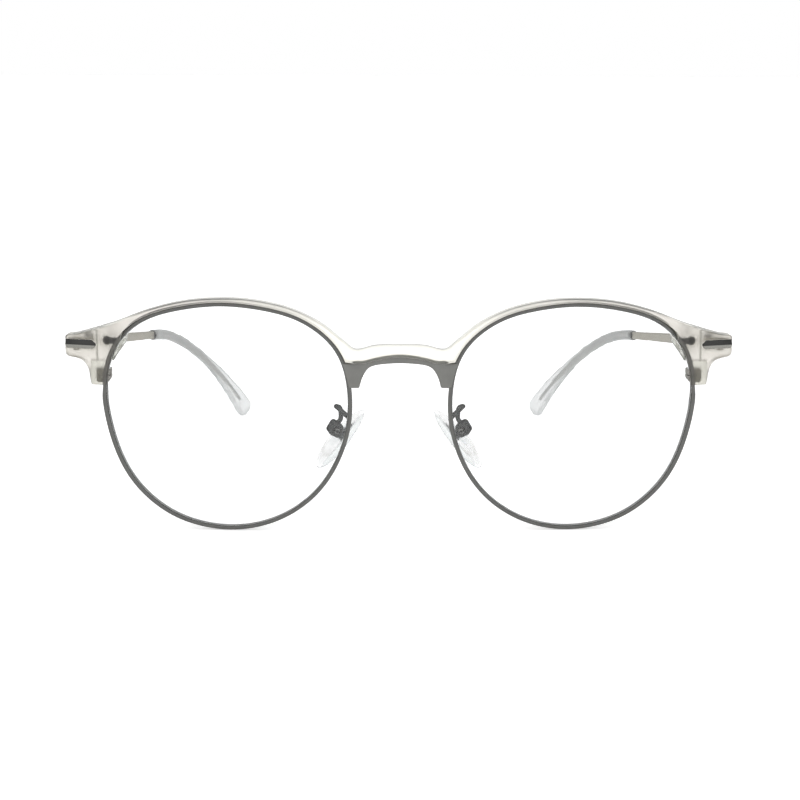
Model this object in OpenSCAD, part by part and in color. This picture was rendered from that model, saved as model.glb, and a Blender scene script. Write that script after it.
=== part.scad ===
// Round eyeglasses: two wire rims under a one-piece plastic brow bar,
// a metal bridge, sprung-free barrel hinges, slim metal temples with
// clear plastic ends, and silicone nose pads on wire arms.
// The glasses stand on a table on their two rims and two temple ends.
// X runs across the front, Y runs from the front to the ears, Z is up.

/* [Lenses] */
// Mean radius of the opening inside each rim
lens_r = 24; // [22:0.1:26]
// Share by which a lens is wider than it is tall
lens_oval = 0.04; // [0:0.005:0.06]
// Share by which the upper outer corner stands out
lens_lean = 0.012; // [0:0.002:0.02]
// Share by which a lens narrows towards its foot
lens_taper = 0.04; // [0.01:0.005:0.05]
// Share by which the sides of a lens are flattened
lens_square = 0.02; // [0:0.005:0.03]
// Share by which the top of a lens is peaked
lens_crest = 0.0115; // [0:0.0005:0.013]
// Half the distance between the two lenses at the nose
nose_half = 10.92; // [10.4:0.02:12]
// Radius of the curve of a lens
base_r = 130; // [110:5:200]
// Angle by which each lens turns back towards the temple
wrap = 4; // [2:0.5:5]
// Thickness of a lens
lens_t = 1.6; // [1.2:0.1:1.8]
// Height of the bevel round the edge of a lens
bevel_h = 0.35; // [0.2:0.05:0.4]

/* [Rims] */
// Width of the rim wire seen from the front
rim_w = 1; // [0.8:0.05:1.3]
// Depth of the rim wire from front to back
rim_d = 1.9; // [1.6:0.1:2.4]
// Depth of the groove that holds the lens
groove_h = 0.4; // [0.3:0.05:0.5]
// Gap where the rim wire is split beside its lock
split_gap = 0.25; // [0.1:0.05:0.5]

/* [Rim lock] */
// Height of the lock above the foot of the lobe that covers it
lock_up = 0.15; // [0.1:0.05:0.6]
// Width of the lock blocks
lock_w = 3; // [2.6:0.1:3.4]
// Distance of the middle of the lock outside the middle of the rim wire
lock_out = 0.65; // [0.5:0.05:0.8]
// Height of the two lock blocks together
lock_h = 3.8; // [3.2:0.1:4.2]
// Depth of the lock blocks behind the rim
lock_d = 2.4; // [2.1:0.1:2.8]
// Radius of the lock screw
lock_screw_r = 0.45; // [0.35:0.05:0.5]

/* [Brow bar] */
// Distance that the brow bar stands ahead of the rims
brow_front = 1.8; // [1.5:0.1:2.2]
// Distance that the brow bar reaches behind the middle of the rims
brow_back = 2.1; // [1.7:0.1:2.6]
// Distance that each end piece stands out past its lens
end_past = 8.92; // [8.6:0.02:9.6]
// Length of the flat hinge seat at each end
end_len = 6.4; // [6:0.1:7]
// Width of the lip that the bar carries inside the rim
lip_w = 1.3; // [0.8:0.1:1.6]
// Distance from the middle of the hinges down to the foot of the end lobes
lobe_drop = 8; // [7.6:0.1:8.6]

/* [Bridge] */
// Depth of the metal bridge from front to back
bridge_d = 2.2; // [1.6:0.1:2.6]
// Height of the top of the bridge above the middle of the lenses
bridge_up = 12.16; // [12:0.02:12.6]
// Thickness of the bridge at the nose
bridge_t = 1.7; // [1.4:0.1:2.2]
// Distance from the top of the bridge down to its feet beside the rims
bridge_drop = 6.8; // [6:0.1:7.6]

/* [Brow screws] */
// Distance of each brow screw from the end of the front
lug_in = 9; // [8.6:0.1:9.2]
// Height of each brow screw above the middle of the hinges
lug_up = 1.1; // [0.9:0.1:1.3]
// Radius of the eye of the lug
lug_r = 1.1; // [1:0.05:1.2]
// Thickness of the lug
lug_t = 0.9; // [0.7:0.05:1.1]
// Radius of the brow screw
brow_screw_r = 0.5; // [0.4:0.05:0.6]
// Length of the brow screw in the plastic
brow_screw_l = 1.3; // [0.8:0.1:1.5]

/* [Hinges] */
// Height of the middle of the hinges above the middle of the lenses
hinge_up = 13.46; // [13.2:0.02:13.7]
// Distance of the hinge pins from the end of the front
pin_in = 5.2; // [5:0.1:5.3]
// Distance of the hinge pins behind their seat
pin_back = 1.9; // [1.75:0.05:2.2]
// Radius of the hinge screw
pin_r = 0.55; // [0.4:0.05:0.6]
// Radius of the hinge barrel
barrel_r = 1.1; // [1:0.05:1.1]
// Height of one knuckle
knuckle_h = 1; // [0.8:0.05:1.1]
// Gap between two knuckles
knuckle_gap = 0.1; // [0.06:0.02:0.16]
// Thickness of the hinge leaves
leaf_t = 0.8; // [0.6:0.05:0.9]
// Length of the temple leaf behind the pin
leaf_l = 6.5; // [5:0.5:8]
// Radius of the rivets that hold the front leaf
rivet_r = 0.5; // [0.4:0.05:0.6]

/* [End trims] */
// Length of the metal trim on each end
trim_l = 6.35; // [6:0.05:6.4]
// Height of the metal trim
trim_h = 2.1; // [1.9:0.1:2.3]
// Height of the middle of the trim above the middle of the hinges
trim_up = 0.25; // [0:0.05:0.3]
// Depth of the trim set into the plastic
trim_in = 0.6; // [0.4:0.05:0.8]
// Height of the ridge of the trim above the plastic
trim_out = 0.35; // [0.2:0.05:0.5]

/* [Temples] */
// Length of the temple along its path from the hinge
temple_l = 145; // [138:1:152]
// Angle by which the temple drops along its straight part
temple_drop = 6.8; // [5:0.2:8]
// Angle by which the temple leans inwards along its straight part
temple_toe = 6.8; // [4:0.2:8]
// Distance from the hinge to the start of the ear bend
bend_at = 77.5; // [74:0.5:84]
// Length over which the ear bend turns down
bend_run = 76; // [66:1:84]
// Angle below level that the ear bend works towards
bend_drop = 54; // [46:1:58]
// Length over which the ear bend turns inwards
toe_run = 61; // [52:1:70]
// Angle inwards that the ear bend works towards
bend_toe = 37; // [28:1:40]
// Half height of the bar at the hinge
bar_hinge_h = 1.45; // [1.2:0.05:1.6]
// Half height of the bar along its run
bar_h = 1.15; // [1:0.05:1.3]
// Half height of the bar at the collar
bar_end_h = 0.9; // [0.8:0.05:1]
// Length over which the bar narrows and turns inwards behind the hinge
taper_run = 20; // [14:1:30]
// Thickness of the bar
bar_t = 1.4; // [1.2:0.1:1.6]
// Distance from the hinge to the collar
collar_at = 75; // [70:1:80]
// Length of the collar
collar_l = 1.2; // [0.8:0.1:2]
// Radius of the collar
collar_r = 1.1; // [1:0.05:1.2]
// Radius of the core wire inside the plastic end
core_r = 0.6; // [0.5:0.05:0.7]
// Bare distance between the end of the core wire and the end of the temple
core_short = 6; // [5:1:14]
// Half height of the plastic end beside the collar
tip_h = 1.22; // [1.1:0.02:1.3]
// Half thickness of the plastic end
tip_t = 1.1; // [0.95:0.05:1.3]
// Half height of the broad foot of the plastic end
foot_h = 2.6; // [2.3:0.1:2.9]
// Distance from the collar to where the plastic end starts to broaden
swell_at = 42; // [38:1:44]
// Length over which the plastic end broadens
swell_run = 28; // [24:1:32]

/* [Nose pads] */
// Place of a pad under its screw: past the edge of the lens, behind the lens, and above its middle
pad_at = [0.38, 9.6, -5.64];
// Distance from the screw of a pad down to the middle of the pad
pad_hang = 1.2; // [0.8:0.1:1.6]
// Lean of the pad seen from the front
pad_lean = 50; // [46:1:54]
// Turn of the pad towards the ears
pad_splay = 25; // [20:1:30]
// Length of the pad
pad_l = 14.6; // [13:0.1:16]
// Width of the pad
pad_w = 7.2; // [6:0.1:8]
// Thickness of the pad
pad_t = 2.2; // [1.8:0.1:2.4]
// Radius of the crown of the pad's face
pad_crown = 26; // [22:1:40]
// Thickness of the stiff plate behind the pad
plate_t = 0.5; // [0.4:0.05:0.6]
// Distance from the middle of the pad to the pad screw
rock_up = 3.2; // [3.1:0.1:3.4]
// Length, width and height of the pad box
box_size = [2.9, 2.9, 2.6];
// Wall of the pad box
box_wall = 0.4; // [0.35:0.05:0.45]
// Thickness of the tab that rocks in the pad box
tab_t = 1.3; // [1:0.1:1.4]
// Radius of the tab round the pad screw
tab_r = 0.95; // [0.8:0.05:1]
// Radius of the pad screw
pad_screw_r = 0.45; // [0.35:0.05:0.5]
// Radius of the wire of the pad arm
arm_r = 0.5; // [0.4:0.05:0.6]

// Length of the stiff plate behind the pad
plate_l = 5.4; // [5:0.2:6]
// Width of the stiff plate behind the pad
plate_w = 3.2; // [2.8:0.1:3.6]

/* [Screw heads] */
// Height of the heads of the small screws
head_h = 0.5; // [0.4:0.05:0.6]
// Width by which a screw head stands out past its screw
head_lip = 0.4; // [0.3:0.05:0.45]

/* [Fits] */
// Gap round a lens bevel in its groove
lens_fit = 0.04; // [0.02:0.01:0.08]
// Gap between the pad tab and the inside of its box
tab_fit = 0.08; // [0.05:0.01:0.1]
// Radial clearance of a screw in a hole that it turns in
turn_fit = 0.03; // [0.02:0.01:0.05]
// Gap round a metal piece that lies in a pocket of the plastic
pocket_fit = 0.08; // [0.04:0.01:0.12]
// Gap between the end of an open temple and its stop
stop_gap = 0.06; // [0.03:0.01:0.1]

/* [Hidden] */

// Smoothness of round pieces
$fn = 48;
// Number of straight runs round a rim
rim_runs = 72;
// Smoothness of the large balls that shape the lenses and pads
ball_fn = 360;
// Small overlap that a cut runs past a face
past = 0.5;

// Outline of a lens, t is 0 at the temple and 90 at the top
function lens_round(t) = lens_r * (1 + lens_oval * cos(2 * t)
  + lens_lean * sin(2 * t) + lens_taper * sin(3 * t)
  - lens_square * cos(4 * t));
function lens_edge(t) = lens_round(t) - lens_r * lens_crest * cos(6 * t) * (0.6 + 0.4 * sin(t));

// Middle of a lens: across, from the gap at the nose, and up, so that its rim stands on the table
lens_x = nose_half + lens_round(180);
foot_lean = asin(lens_edge(270) / base_r);
lens_z = lens_edge(270) + rim_w * cos(foot_lean) + rim_d / 2 * sin(foot_lean) - 0.04;

// Half the width of the front, and the heights that hang on the middle of the lenses
end_x = lens_x + lens_round(0) + end_past;
hinge_z = lens_z + hinge_up;
lobe_z = hinge_z - lobe_drop;
bridge_top = lens_z + bridge_up;
pin_x = end_x - pin_in;
lug_x = end_x - lug_in;
lug_z = hinge_z + lug_up;

// Centre of the ball on which a lens and its rim lie
ball = [lens_x - base_r * sin(wrap), base_r * cos(wrap), lens_z];
function face_y(x, z) = ball.y
  - sqrt(pow(base_r, 2) - pow(x - ball.x, 2) - pow(z - ball.z, 2));

// Point on the inner edge of a rim, and the directions out of the lens and forwards there
function rim_point(t) =
  let(x = lens_x + lens_edge(t) * cos(t), z = lens_z + lens_edge(t) * sin(t))
  [x, face_y(x, z), z];
function unit(v) = v / norm(v);
function rim_front(t) = unit(rim_point(t) - ball);
function rim_run(t) = unit(rim_point(t + 0.5) - rim_point(t - 0.5));
function rim_out(t) = unit(cross(rim_run(t), rim_front(t)));
function rim_place(t, a, d) = rim_point(t) + a * rim_out(t) + d * rim_front(t);

// Angles of the lock, of the end of the lip and of the end of the brow bar round a lens
lock_cut = lobe_z + lock_up + lock_h / 2;
lock_t = asin((lock_cut - lens_z) / (lens_edge(16) + rim_w / 2));
lip_t = 33;
seam_t = 155;
split_t = split_gap / lens_r * 90 / PI;

// Smooth curve through a few points, with n steps between two of them
function bend_point(a, b, c, d, u) = 0.5 * (2 * b + (c - a) * u
  + (2 * a - 5 * b + 4 * c - d) * u * u + (3 * b - a - 3 * c + d) * u * u * u);
function curve(p, n) = [
  for (i = [0:len(p) - 2], k = [0:n - 1])
    bend_point(p[max(i - 1, 0)], p[i], p[i + 1], p[min(i + 2, len(p) - 1)], k / n),
  p[len(p) - 1]
];
function reversed(p) = [for (i = [len(p) - 1:-1:0]) p[i]];
function mirrored(p) = [for (i = [len(p) - 1:-1:0]) [-p[i].x, p[i].y]];

// Skin over rings of points, with ends or closed on itself
module skin(rings, closed = false) {
  n = len(rings);
  m = len(rings[0]);
  sides = [
    for (i = [0:n - (closed ? 1 : 2)], j = [0:m - 1])
      let(a = i * m + j, b = i * m + (j + 1) % m,
          c = ((i + 1) % n) * m + (j + 1) % m, d = ((i + 1) % n) * m + j)
      each [[a, b, c], [a, c, d]]
  ];
  ends = closed ? [] : [[for (j = [m - 1:-1:0]) j], [for (j = [0:m - 1]) (n - 1) * m + j]];
  polyhedron([for (r = rings, p = r) p], concat(sides, ends), convexity = 6);
}

// Angles of the rings round a rim, from one side of its split to the other
rim_from = lock_t + split_t;
rim_turns = [for (i = [0:rim_runs]) rim_from + (360 - 2 * split_t) * i / rim_runs];

// Band along the given angles of a rim, its section given as [out, forward] points
module rim_band(section, turns, closed = false) {
  skin([for (t = turns) [for (s = reversed(section)) rim_place(t, s.x, s.y)]], closed);
}

function box_section(a0, a1, d0, d1) = [[a0, d0], [a0, d1], [a1, d1], [a1, d0]];

// Room that a rim and the lens inside it take up, for cutting their neighbours
module rim_room() {
  rim_band(box_section(-4, rim_w, -rim_d / 2, rim_d / 2), rim_turns, true);
}

// Piece of the given outline, seen from the front, from y0 to y1
module upright(points, y0, y1) {
  translate([0, y1, 0]) rotate([90, 0, 0]) linear_extrude(y1 - y0) polygon(points);
}

// Pin along Y from y0 to y1
module pin_y(r, x, z, y0, y1) {
  translate([x, y1, z]) rotate([90, 0, 0]) cylinder(r = r, h = y1 - y0);
}

// Place on a rim seen from the front, a outside the edge of the lens
function flat_rim(t, a) = [lens_x + (lens_edge(t) + a) * cos(t), lens_z + (lens_edge(t) + a) * sin(t)];

// Height of the brow bar above the rim at a few angles round the lens
brow_over = [[147.4, 1.4], [135.8, 0.95], [121.5, 0.82], [105.2, 1], [88.6, 0.85], [69.8, 0.8], [52, 0.95]];

// Top edge of the brow bar from the nose outwards
top_edge = curve(concat(
  [[0, bridge_top + 2], [nose_half - 5.92, bridge_top + 1.85], [nose_half - 1.9, bridge_top + 1.05]],
  [for (b = brow_over) flat_rim(b[0], rim_w + b[1])],
  [[end_x - 8.8, hinge_z + 4.35], [end_x - 2.8, hinge_z + 2.55], [end_x - 0.4, hinge_z + 2.3]]
), 4);

// End face and lobe of the brow bar from its upper corner down to its foot
lobe_edge = concat([[end_x, hinge_z + 2.1]], curve([
  [end_x, hinge_z - 2.1], [end_x - 2, hinge_z - 2.45], [end_x - 3.4, hinge_z - 3.1],
  [end_x - 4.3, hinge_z - 4.4], [end_x - 4.7, lobe_z + 2.4], [end_x - 5.1, lobe_z + 0.5],
  [end_x - 5.6, lobe_z]
], 3));

// Angle on the rim at the height of the foot of the lobe
lobe_t = asin((lobe_z - lens_z) / lens_edge(12));

// Inner edges of the brow bar: the lip inside the rim, then the outside of the rim
lip_edge = [for (i = [0:6]) flat_rim(lobe_t + (lip_t - lobe_t) * i / 6, -lip_w)];
rim_edge = [for (i = [0:30]) flat_rim(lip_t + 1 + (seam_t - lip_t - 1) * i / 30, rim_w / 2)];

// Top edge of the bridge from the rim to the nose, and its underside from the nose to its foot
bridge_under = bridge_top - bridge_t;
bridge_foot = bridge_top - bridge_drop;
seam_edge = curve([
  [nose_half - 1.12, bridge_top - 1.25], [nose_half - 3.32, bridge_top - 1.3],
  [nose_half - 5.72, bridge_top - 0.7], [nose_half - 8.32, bridge_top - 0.2], [0, bridge_top]
], 3);
under_edge = curve([
  [0, bridge_under], [nose_half - 8.22, bridge_under - 0.12], [nose_half - 5.9, bridge_under - 0.42],
  [nose_half - 4.5, bridge_under - 1], [nose_half - 3.6, bridge_under - 2.15],
  [nose_half - 3, bridge_foot + 1.6], [nose_half - 2.57, bridge_foot]
], 3);

brow_half = concat(top_edge, lobe_edge, lip_edge, rim_edge, seam_edge);
bridge_half = concat([[0, bridge_top]], reversed([for (i = [0:len(seam_edge) - 2]) seam_edge[i]]),
  [flat_rim(seam_t, 0), flat_rim(seam_t + 6, -0.3), flat_rim(seam_t + 12, -0.3),
   [nose_half - 0.12, bridge_foot]],
  reversed([for (i = [1:len(under_edge) - 1]) under_edge[i]]), [[0, bridge_under]]);

// Line of the rims seen from above, from the nose to the end of the brow bar
mid_line = concat([[0, rim_point(150).y - 0.1]],
  [for (t = [150:-10:50]) [rim_point(t).x, rim_point(t).y]],
  [for (x = [end_x - 10.8, end_x - 6.8, end_x - 3.3, end_x]) [x, face_y(x, hinge_z)]]);
function mid_y(x) = lookup(x, mid_line);
end_back = mid_y(end_x) + brow_back;
front_line = [for (p = mid_line) [p.x, p.y - brow_front]];
back_line = concat([for (p = mid_line) if (p.x < end_x - end_len - 6) [p.x, p.y + brow_back]],
  [[end_x - end_len, end_back], [end_x, end_back]]);

// Turn of the front face of the end piece, and the middle of the trim on it
trim_x = end_x - trim_l / 2;
end_turn = atan((mid_y(end_x) - mid_y(end_x - trim_l)) / trim_l);

// Places of the hinge, the lugs and the locks
pin_at = [pin_x, end_back + pin_back];
stack_h = 3 * knuckle_h + 2 * knuckle_gap;
leaf_x = pin_x + barrel_r + 0.1;
bar_x = leaf_x + leaf_t + bar_t / 2;
leaf_h = 2.6;
plate_run = 4.3;
rivet_xs = [pin_x + 1.4, pin_x + 3.3];
function rivet_from(x) = mid_y(x) - brow_front + trim_in / 2;
lug_y = rim_place(lip_t, rim_w / 2, -rim_d / 2).y;
lug_front = lug_y - 0.5;
lock_c = rim_place(lock_t, rim_w / 2, -rim_d / 2);
lock_x = lock_c.x + lock_out;
lock_back = lock_c.y + lock_d;

// Path of a temple: its lean and drop follow the distance from the hinge
function ease(u) = let(v = min(max(u, 0), 1)) v * v * (3 - 2 * v);
function toe(s) = temple_toe * ease((s - leaf_l) / taper_run)
  + (bend_toe - temple_toe) * ease((s - bend_at - 3.5) / toe_run);
function drop(s) = temple_drop + (bend_drop - temple_drop) * ease((s - bend_at) / bend_run);
function heading(s) = [-sin(toe(s)) * cos(drop(s)), cos(toe(s)) * cos(drop(s)), -sin(drop(s))];
path_steps = 145;
path_step = temple_l / path_steps;
raw_path = [
  for (i = 0, p = [0, 0, 0]; i <= path_steps; p = p + path_step * heading((i + 0.5) * path_step), i = i + 1) p
];
// Height of the end of the path above the table, and the scale that brings it there
foot_z = foot_h * 0.223;
fall = (hinge_z - foot_z) / -raw_path[path_steps].z;
function path_point(s) =
  let(i = min(floor(s / path_step), path_steps - 1), u = s / path_step - i,
      p = raw_path[i] + u * (raw_path[i + 1] - raw_path[i]))
  [bar_x + p.x, end_back + stop_gap + p.y, hinge_z + p.z * fall];
function path_run(s) = let(h = heading(s)) unit([h.x, h.y, h.z * fall]);
function path_up(s) = s < 0.1 ? [0, 0, 1]
  : let(t = path_run(s)) unit([0, 0, 1] - t.z * t);
function path_side(s) = s < 0.1 ? [1, 0, 0] : cross(path_run(s), path_up(s));

// Rings along the temple: a flat-sided ring for the bar and a rounded one for the ends
function bar_ring(s, h) =
  let(c = 0.25, t = bar_t / 2)
  [for (q = [[t, h - c], [t - c, h], [c - t, h], [-t, h - c], [-t, c - h], [c - t, -h], [t - c, -h], [t, c - h]])
    path_point(s) + q.x * path_side(s) + q.y * path_up(s)];
function round_ring(s, h, t, n = 12) = [
  for (k = [0:n - 1])
    let(a = 360 * k / n)
    path_point(s) + t * cos(a) * path_side(s) + h * sin(a) * path_up(s)
];

// Half height of the bar, and of the plastic end with its rounded foot
function bar_height(s) = s < taper_run ? bar_hinge_h + (bar_h - bar_hinge_h) * ease(s / taper_run)
  : bar_h + (bar_end_h - bar_h) * (s - taper_run) / (collar_at - taper_run);
tip_from = collar_at + collar_l;
function tip_height(s) = tip_h + (foot_h - tip_h) * ease((s - tip_from - swell_at) / swell_run);
function end_round(s) = sqrt(max(0.04, 1 - pow(max(0, (s - temple_l + foot_h) / foot_h), 2)));

// Distance from the front of the lenses to the ends of the temples, and the middle between them
front_y = ball.y - base_r - lens_t / 2;
back_y = path_point(temple_l).y + 1;
mid = (front_y + back_y) / 2;

// Place of a pad under its screw, and the wire of its arm from the back of the rim to the pad box
pad_mid = [nose_half + pad_at.x, pad_at.y, lens_z + pad_at.z];
arm_t = 183;
arm_from = rim_place(arm_t, rim_w / 2, -rim_d / 2);
box_top = pad_spot([-box_size.x / 2, 0, rock_up]);
function pad_spot(p) =
  let(y1 = p.y * cos(pad_splay) - p.z * sin(pad_splay), z1 = p.y * sin(pad_splay) + p.z * cos(pad_splay))
  pad_mid + [p.x * cos(pad_lean) + z1 * sin(pad_lean), y1, z1 * cos(pad_lean) - p.x * sin(pad_lean)];
arm_path = curve([
  arm_from, arm_from + [0.3, 1.2, 0.3], pad_mid + [1.1, -5.6, 6],
  pad_mid + [1.9, -3.6, 6.3], pad_mid + [1.1, -2, 5.6],
  box_top + [-0.5, 0.1, 0.9], box_top
], 4);
function arm_run(i) = unit(arm_path[min(i + 1, len(arm_path) - 1)] - arm_path[max(i - 1, 0)]);
function arm_side(i) = unit(cross(arm_run(i), [0.5, 0.2, -0.9]));

// Both sides of the part: the left one is on the wearer's left, at positive X
module left() translate([0, -mid, 0]) children();
module right() translate([0, -mid, 0]) mirror([1, 0, 0]) children();

module rim_lock_cut(grow) {
  translate([lock_x - lock_w / 2 - grow - lip_w, lock_c.y - 2, lock_cut - lock_h / 2 - grow - 2])
    cube([lock_w + lip_w + 2 * grow, lock_d + 6, lock_h + 2 * grow + 2]);
}

module lug_shape(grow, y0, y1) {
  eye = lug_r + grow;
  root = flat_rim(lip_t, rim_w / 2);
  pin_y(eye, lug_x, lug_z, y0, y1);
  upright([[lug_x, lug_z + 0.8 + grow], [root.x - 0.4 - grow, root.y + 0.7 + grow],
    [root.x - 0.4 - grow, root.y - 0.9 - grow], [lug_x, lug_z - 0.8 - grow]], y0, y1);
}

module trim_shape(grow, out) {
  // Faceted bar with a pointed inner end: a roof section cut to the outline
  h = trim_h / 2 + grow;
  l = trim_l / 2 + grow;
  translate([trim_x, mid_y(trim_x) - brow_front, hinge_z + trim_up]) rotate([0, 0, end_turn])
    intersection() {
      translate([-l - 1, 0, 0]) rotate([90, 0, 90]) linear_extrude(2 * l + 2)
        polygon([[trim_in + grow, -h], [trim_in + grow, h], [0, h], [-out, -0.25], [0, -h]]);
      upright([[l - grow, -h], [l - grow, h], [1 - l, h], [0.2 - l, 0.6], [-l, 0.1], [0.3 - l, -0.5], [0.9 - l, -h]],
        -1, trim_in + grow);
    }
}

module brow_bar() {
  full = concat(front_line, reversed(back_line));
  color([0.93, 0.91, 0.87]) translate([0, -mid, 0]) difference() {
    intersection() {
      upright(concat(brow_half, mirrored(brow_half)), front_y - 4 * brow_front, end_back + past);
      both() linear_extrude(2 * hinge_z) polygon(full);
    }
    both() brow_cuts();
  }
}

module both() {
  children();
  mirror([1, 0, 0]) children();
}

module brow_cuts() {
  rim_room();
  // The front of the lens stays bare inside the rim
  rim_band(box_section(-4, 0, 0, 6), [for (t = [5:5:lip_t + 5]) t]);
  rim_lock_cut(pocket_fit);
  lug_shape(pocket_fit, lug_front - pocket_fit, end_back + 4);
  pin_y(brow_screw_r, lug_x, lug_z, lug_front - 2 * pocket_fit - brow_screw_l, lug_y);
  trim_shape(pocket_fit / 2, trim_out);
  leaf_plate(pocket_fit, past);
  for (x = rivet_xs) pin_y(rivet_r + pocket_fit / 2, x, hinge_z, rivet_from(x), end_back);
}

// Plate of the front hinge leaf, let into the back of the end piece
module leaf_plate(grow, out) {
  translate([pin_x - barrel_r - grow, end_back - leaf_t - grow / 4, hinge_z - stack_h / 2 - grow])
    cube([barrel_r + plate_run + 2 * grow, leaf_t + grow / 4 + out, stack_h + 2 * grow]);
}

module bridge() {
  y = rim_point(seam_t).y - bridge_d / 2;
  color([0.49, 0.49, 0.47]) translate([0, -mid, 0]) difference() {
    upright(concat(bridge_half, mirrored([for (i = [1:len(bridge_half) - 2]) bridge_half[i]])),
      y, y + bridge_d);
    both() rim_room();
  }
}

module rim() {
  h = rim_d / 2;
  g = groove_h * 1.1;
  section = [[0, 0.1 - h], [0, -g], [groove_h, 0], [0, g], [0, h - 0.1], [0.1, h],
    [rim_w - 0.25, h], [rim_w, h - 0.25], [rim_w, 0.25 - h], [rim_w - 0.25, -h], [0.1, -h]];
  color([0.4, 0.4, 0.4]) rim_band(section, rim_turns);
}

module lens() {
  gap = lens_fit;
  g = bevel_h * 1.1;
  section = [[-gap, 1.4], [-gap, g], [bevel_h - gap, 0], [-gap, -g], [-gap, -1.4]];
  rings = [
    for (s = section)
      [for (t = rim_turns) rim_place(t, s.x, s.y)]
  ];
  front = [for (p = rings[0]) [p.x, front_y - lens_r / 4, p.z]];
  back = [for (p = rings[4]) [p.x, end_back + lens_r / 4, p.z]];
  color([0.85, 0.9, 0.92, 0.35]) intersection() {
    difference() {
      translate(ball) sphere(r = base_r + lens_t / 2, $fn = ball_fn);
      translate(ball) sphere(r = base_r - lens_t / 2, $fn = ball_fn);
    }
    skin(concat([front], rings, [back]));
  }
}

module rim_lock(lower) {
  half = (lock_h - split_gap) / 2;
  z = lower ? lock_cut - lock_h / 2 : lock_cut + split_gap / 2;
  y = lock_c.y - 0.9;
  color([0.45, 0.45, 0.44]) difference() {
    translate([lock_x - lock_w / 2, y, z]) cube([lock_w, lock_back - y, half]);
    rim_room();
    translate([lock_x, lock_screw_y, z - past])
      cylinder(r = lock_screw_r + (lower ? turn_fit : 0), h = half + 2 * past);
    if (lower) translate([lock_x, lock_screw_y, z - past])
      cylinder(r = lock_screw_r + head_lip + turn_fit, h = head_h + past);
  }
}
lock_screw_y = lock_back - lock_d / 2 + 0.1;

module rim_lock_screw() {
  color([0.7, 0.7, 0.7]) translate([lock_x, lock_screw_y, lock_cut - lock_h / 2]) {
    cylinder(r = lock_screw_r + head_lip, h = head_h);
    cylinder(r = lock_screw_r, h = lock_h);
  }
}

module brow_lug() {
  color([0.3, 0.3, 0.29]) difference() {
    lug_shape(0, lug_front, lug_front + lug_t);
    rim_room();
    pin_y(brow_screw_r + turn_fit, lug_x, lug_z, lug_front - past, lug_front + lug_t + past);
  }
}

module brow_screw() {
  y = lug_front + lug_t;
  color([0.3, 0.3, 0.3]) {
    pin_y(brow_screw_r, lug_x, lug_z, lug_front - pocket_fit - brow_screw_l, y);
    pin_y(brow_screw_r + head_lip, lug_x, lug_z, y, y + head_h);
  }
}

module trim() {
  color([0.25, 0.25, 0.24]) {
    trim_shape(0, trim_out);
    for (x = rivet_xs) pin_y(rivet_r, x, hinge_z, rivet_from(x), end_back);
  }
}

module hinge_front_leaf() {
  color([0.6, 0.6, 0.6]) difference() {
    union() {
      leaf_plate(0, 0);
      for (z = [0, 2]) translate([pin_at.x, pin_at.y, hinge_z - stack_h / 2 + z * (knuckle_h + knuckle_gap)]) {
        cylinder(r = barrel_r, h = knuckle_h);
        translate([-barrel_r, -pin_back - leaf_t / 2, 0]) cube([2 * barrel_r, pin_back + leaf_t / 2, knuckle_h]);
      }
    }
    translate([pin_at.x, pin_at.y, hinge_z - stack_h]) cylinder(r = pin_r + turn_fit, h = 2 * stack_h);
    for (x = rivet_xs) pin_y(rivet_r + turn_fit / 2, x, hinge_z, end_back - leaf_t - past, end_back + past);
  }
}

module hinge_temple_leaf() {
  arm_w = 1.55 * barrel_r;
  front = pin_back - 0.35;
  color([0.62, 0.62, 0.61]) difference() {
    union() {
      translate([pin_at.x, pin_at.y, hinge_z - knuckle_h / 2]) {
        cylinder(r = barrel_r, h = knuckle_h);
        translate([0, -arm_w / 2, 0]) cube([leaf_x - pin_x + leaf_t / 4, arm_w, knuckle_h]);
      }
      translate([leaf_x, pin_at.y, hinge_z]) rotate([-temple_drop, 0, 0])
        translate([0, -front, -leaf_h / 2]) cube([leaf_t, leaf_l + front, leaf_h]);
    }
    translate([pin_at.x, pin_at.y, hinge_z - stack_h]) cylinder(r = pin_r + turn_fit, h = 2 * stack_h);
  }
}

module hinge_screw() {
  slot_w = 0.24;
  color([0.7, 0.7, 0.7]) translate([pin_at.x, pin_at.y, hinge_z - stack_h / 2]) difference() {
    union() {
      cylinder(r = pin_r, h = stack_h);
      translate([0, 0, stack_h]) cylinder(r = pin_r + head_lip, h = head_h);
    }
    translate([-pin_r - head_lip - past, -slot_w / 2, stack_h + head_h / 2])
      cube([2 * (pin_r + head_lip + past), slot_w, head_h]);
  }
}

module temple_bar() {
  color([0.72, 0.71, 0.68]) {
    // The rings stand closer together beside the hinge
    skin([for (i = [0:14]) let(s = collar_at * pow(i / 14, 1.4)) bar_ring(s, bar_height(s))]);
    core_wire(0);
  }
}

// Wire that runs from the bar through the collar into the plastic end
module core_wire(grow) {
  last = temple_l - core_short;
  skin([for (i = [0:20]) let(s = collar_at - 2 + (last + grow - collar_at + 2) * i / 20)
    round_ring(s, core_r + grow, core_r + grow, 8)]);
}

module temple_collar() {
  color([0.2, 0.2, 0.2]) difference() {
    skin([for (s = [collar_at, tip_from]) round_ring(s, collar_r, collar_r, 24)]);
    core_wire(0);
  }
}

module temple_tip() {
  run = temple_l - tip_from;
  color([0.85, 0.88, 0.88, 0.7]) difference() {
    skin([for (i = [0:30]) let(u = i / 30, s = tip_from + run * (1 - pow(1 - u, 1.5)), e = end_round(s))
      round_ring(s, tip_height(s) * e, tip_t * e, 12)]);
    core_wire(0);
  }
}

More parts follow.
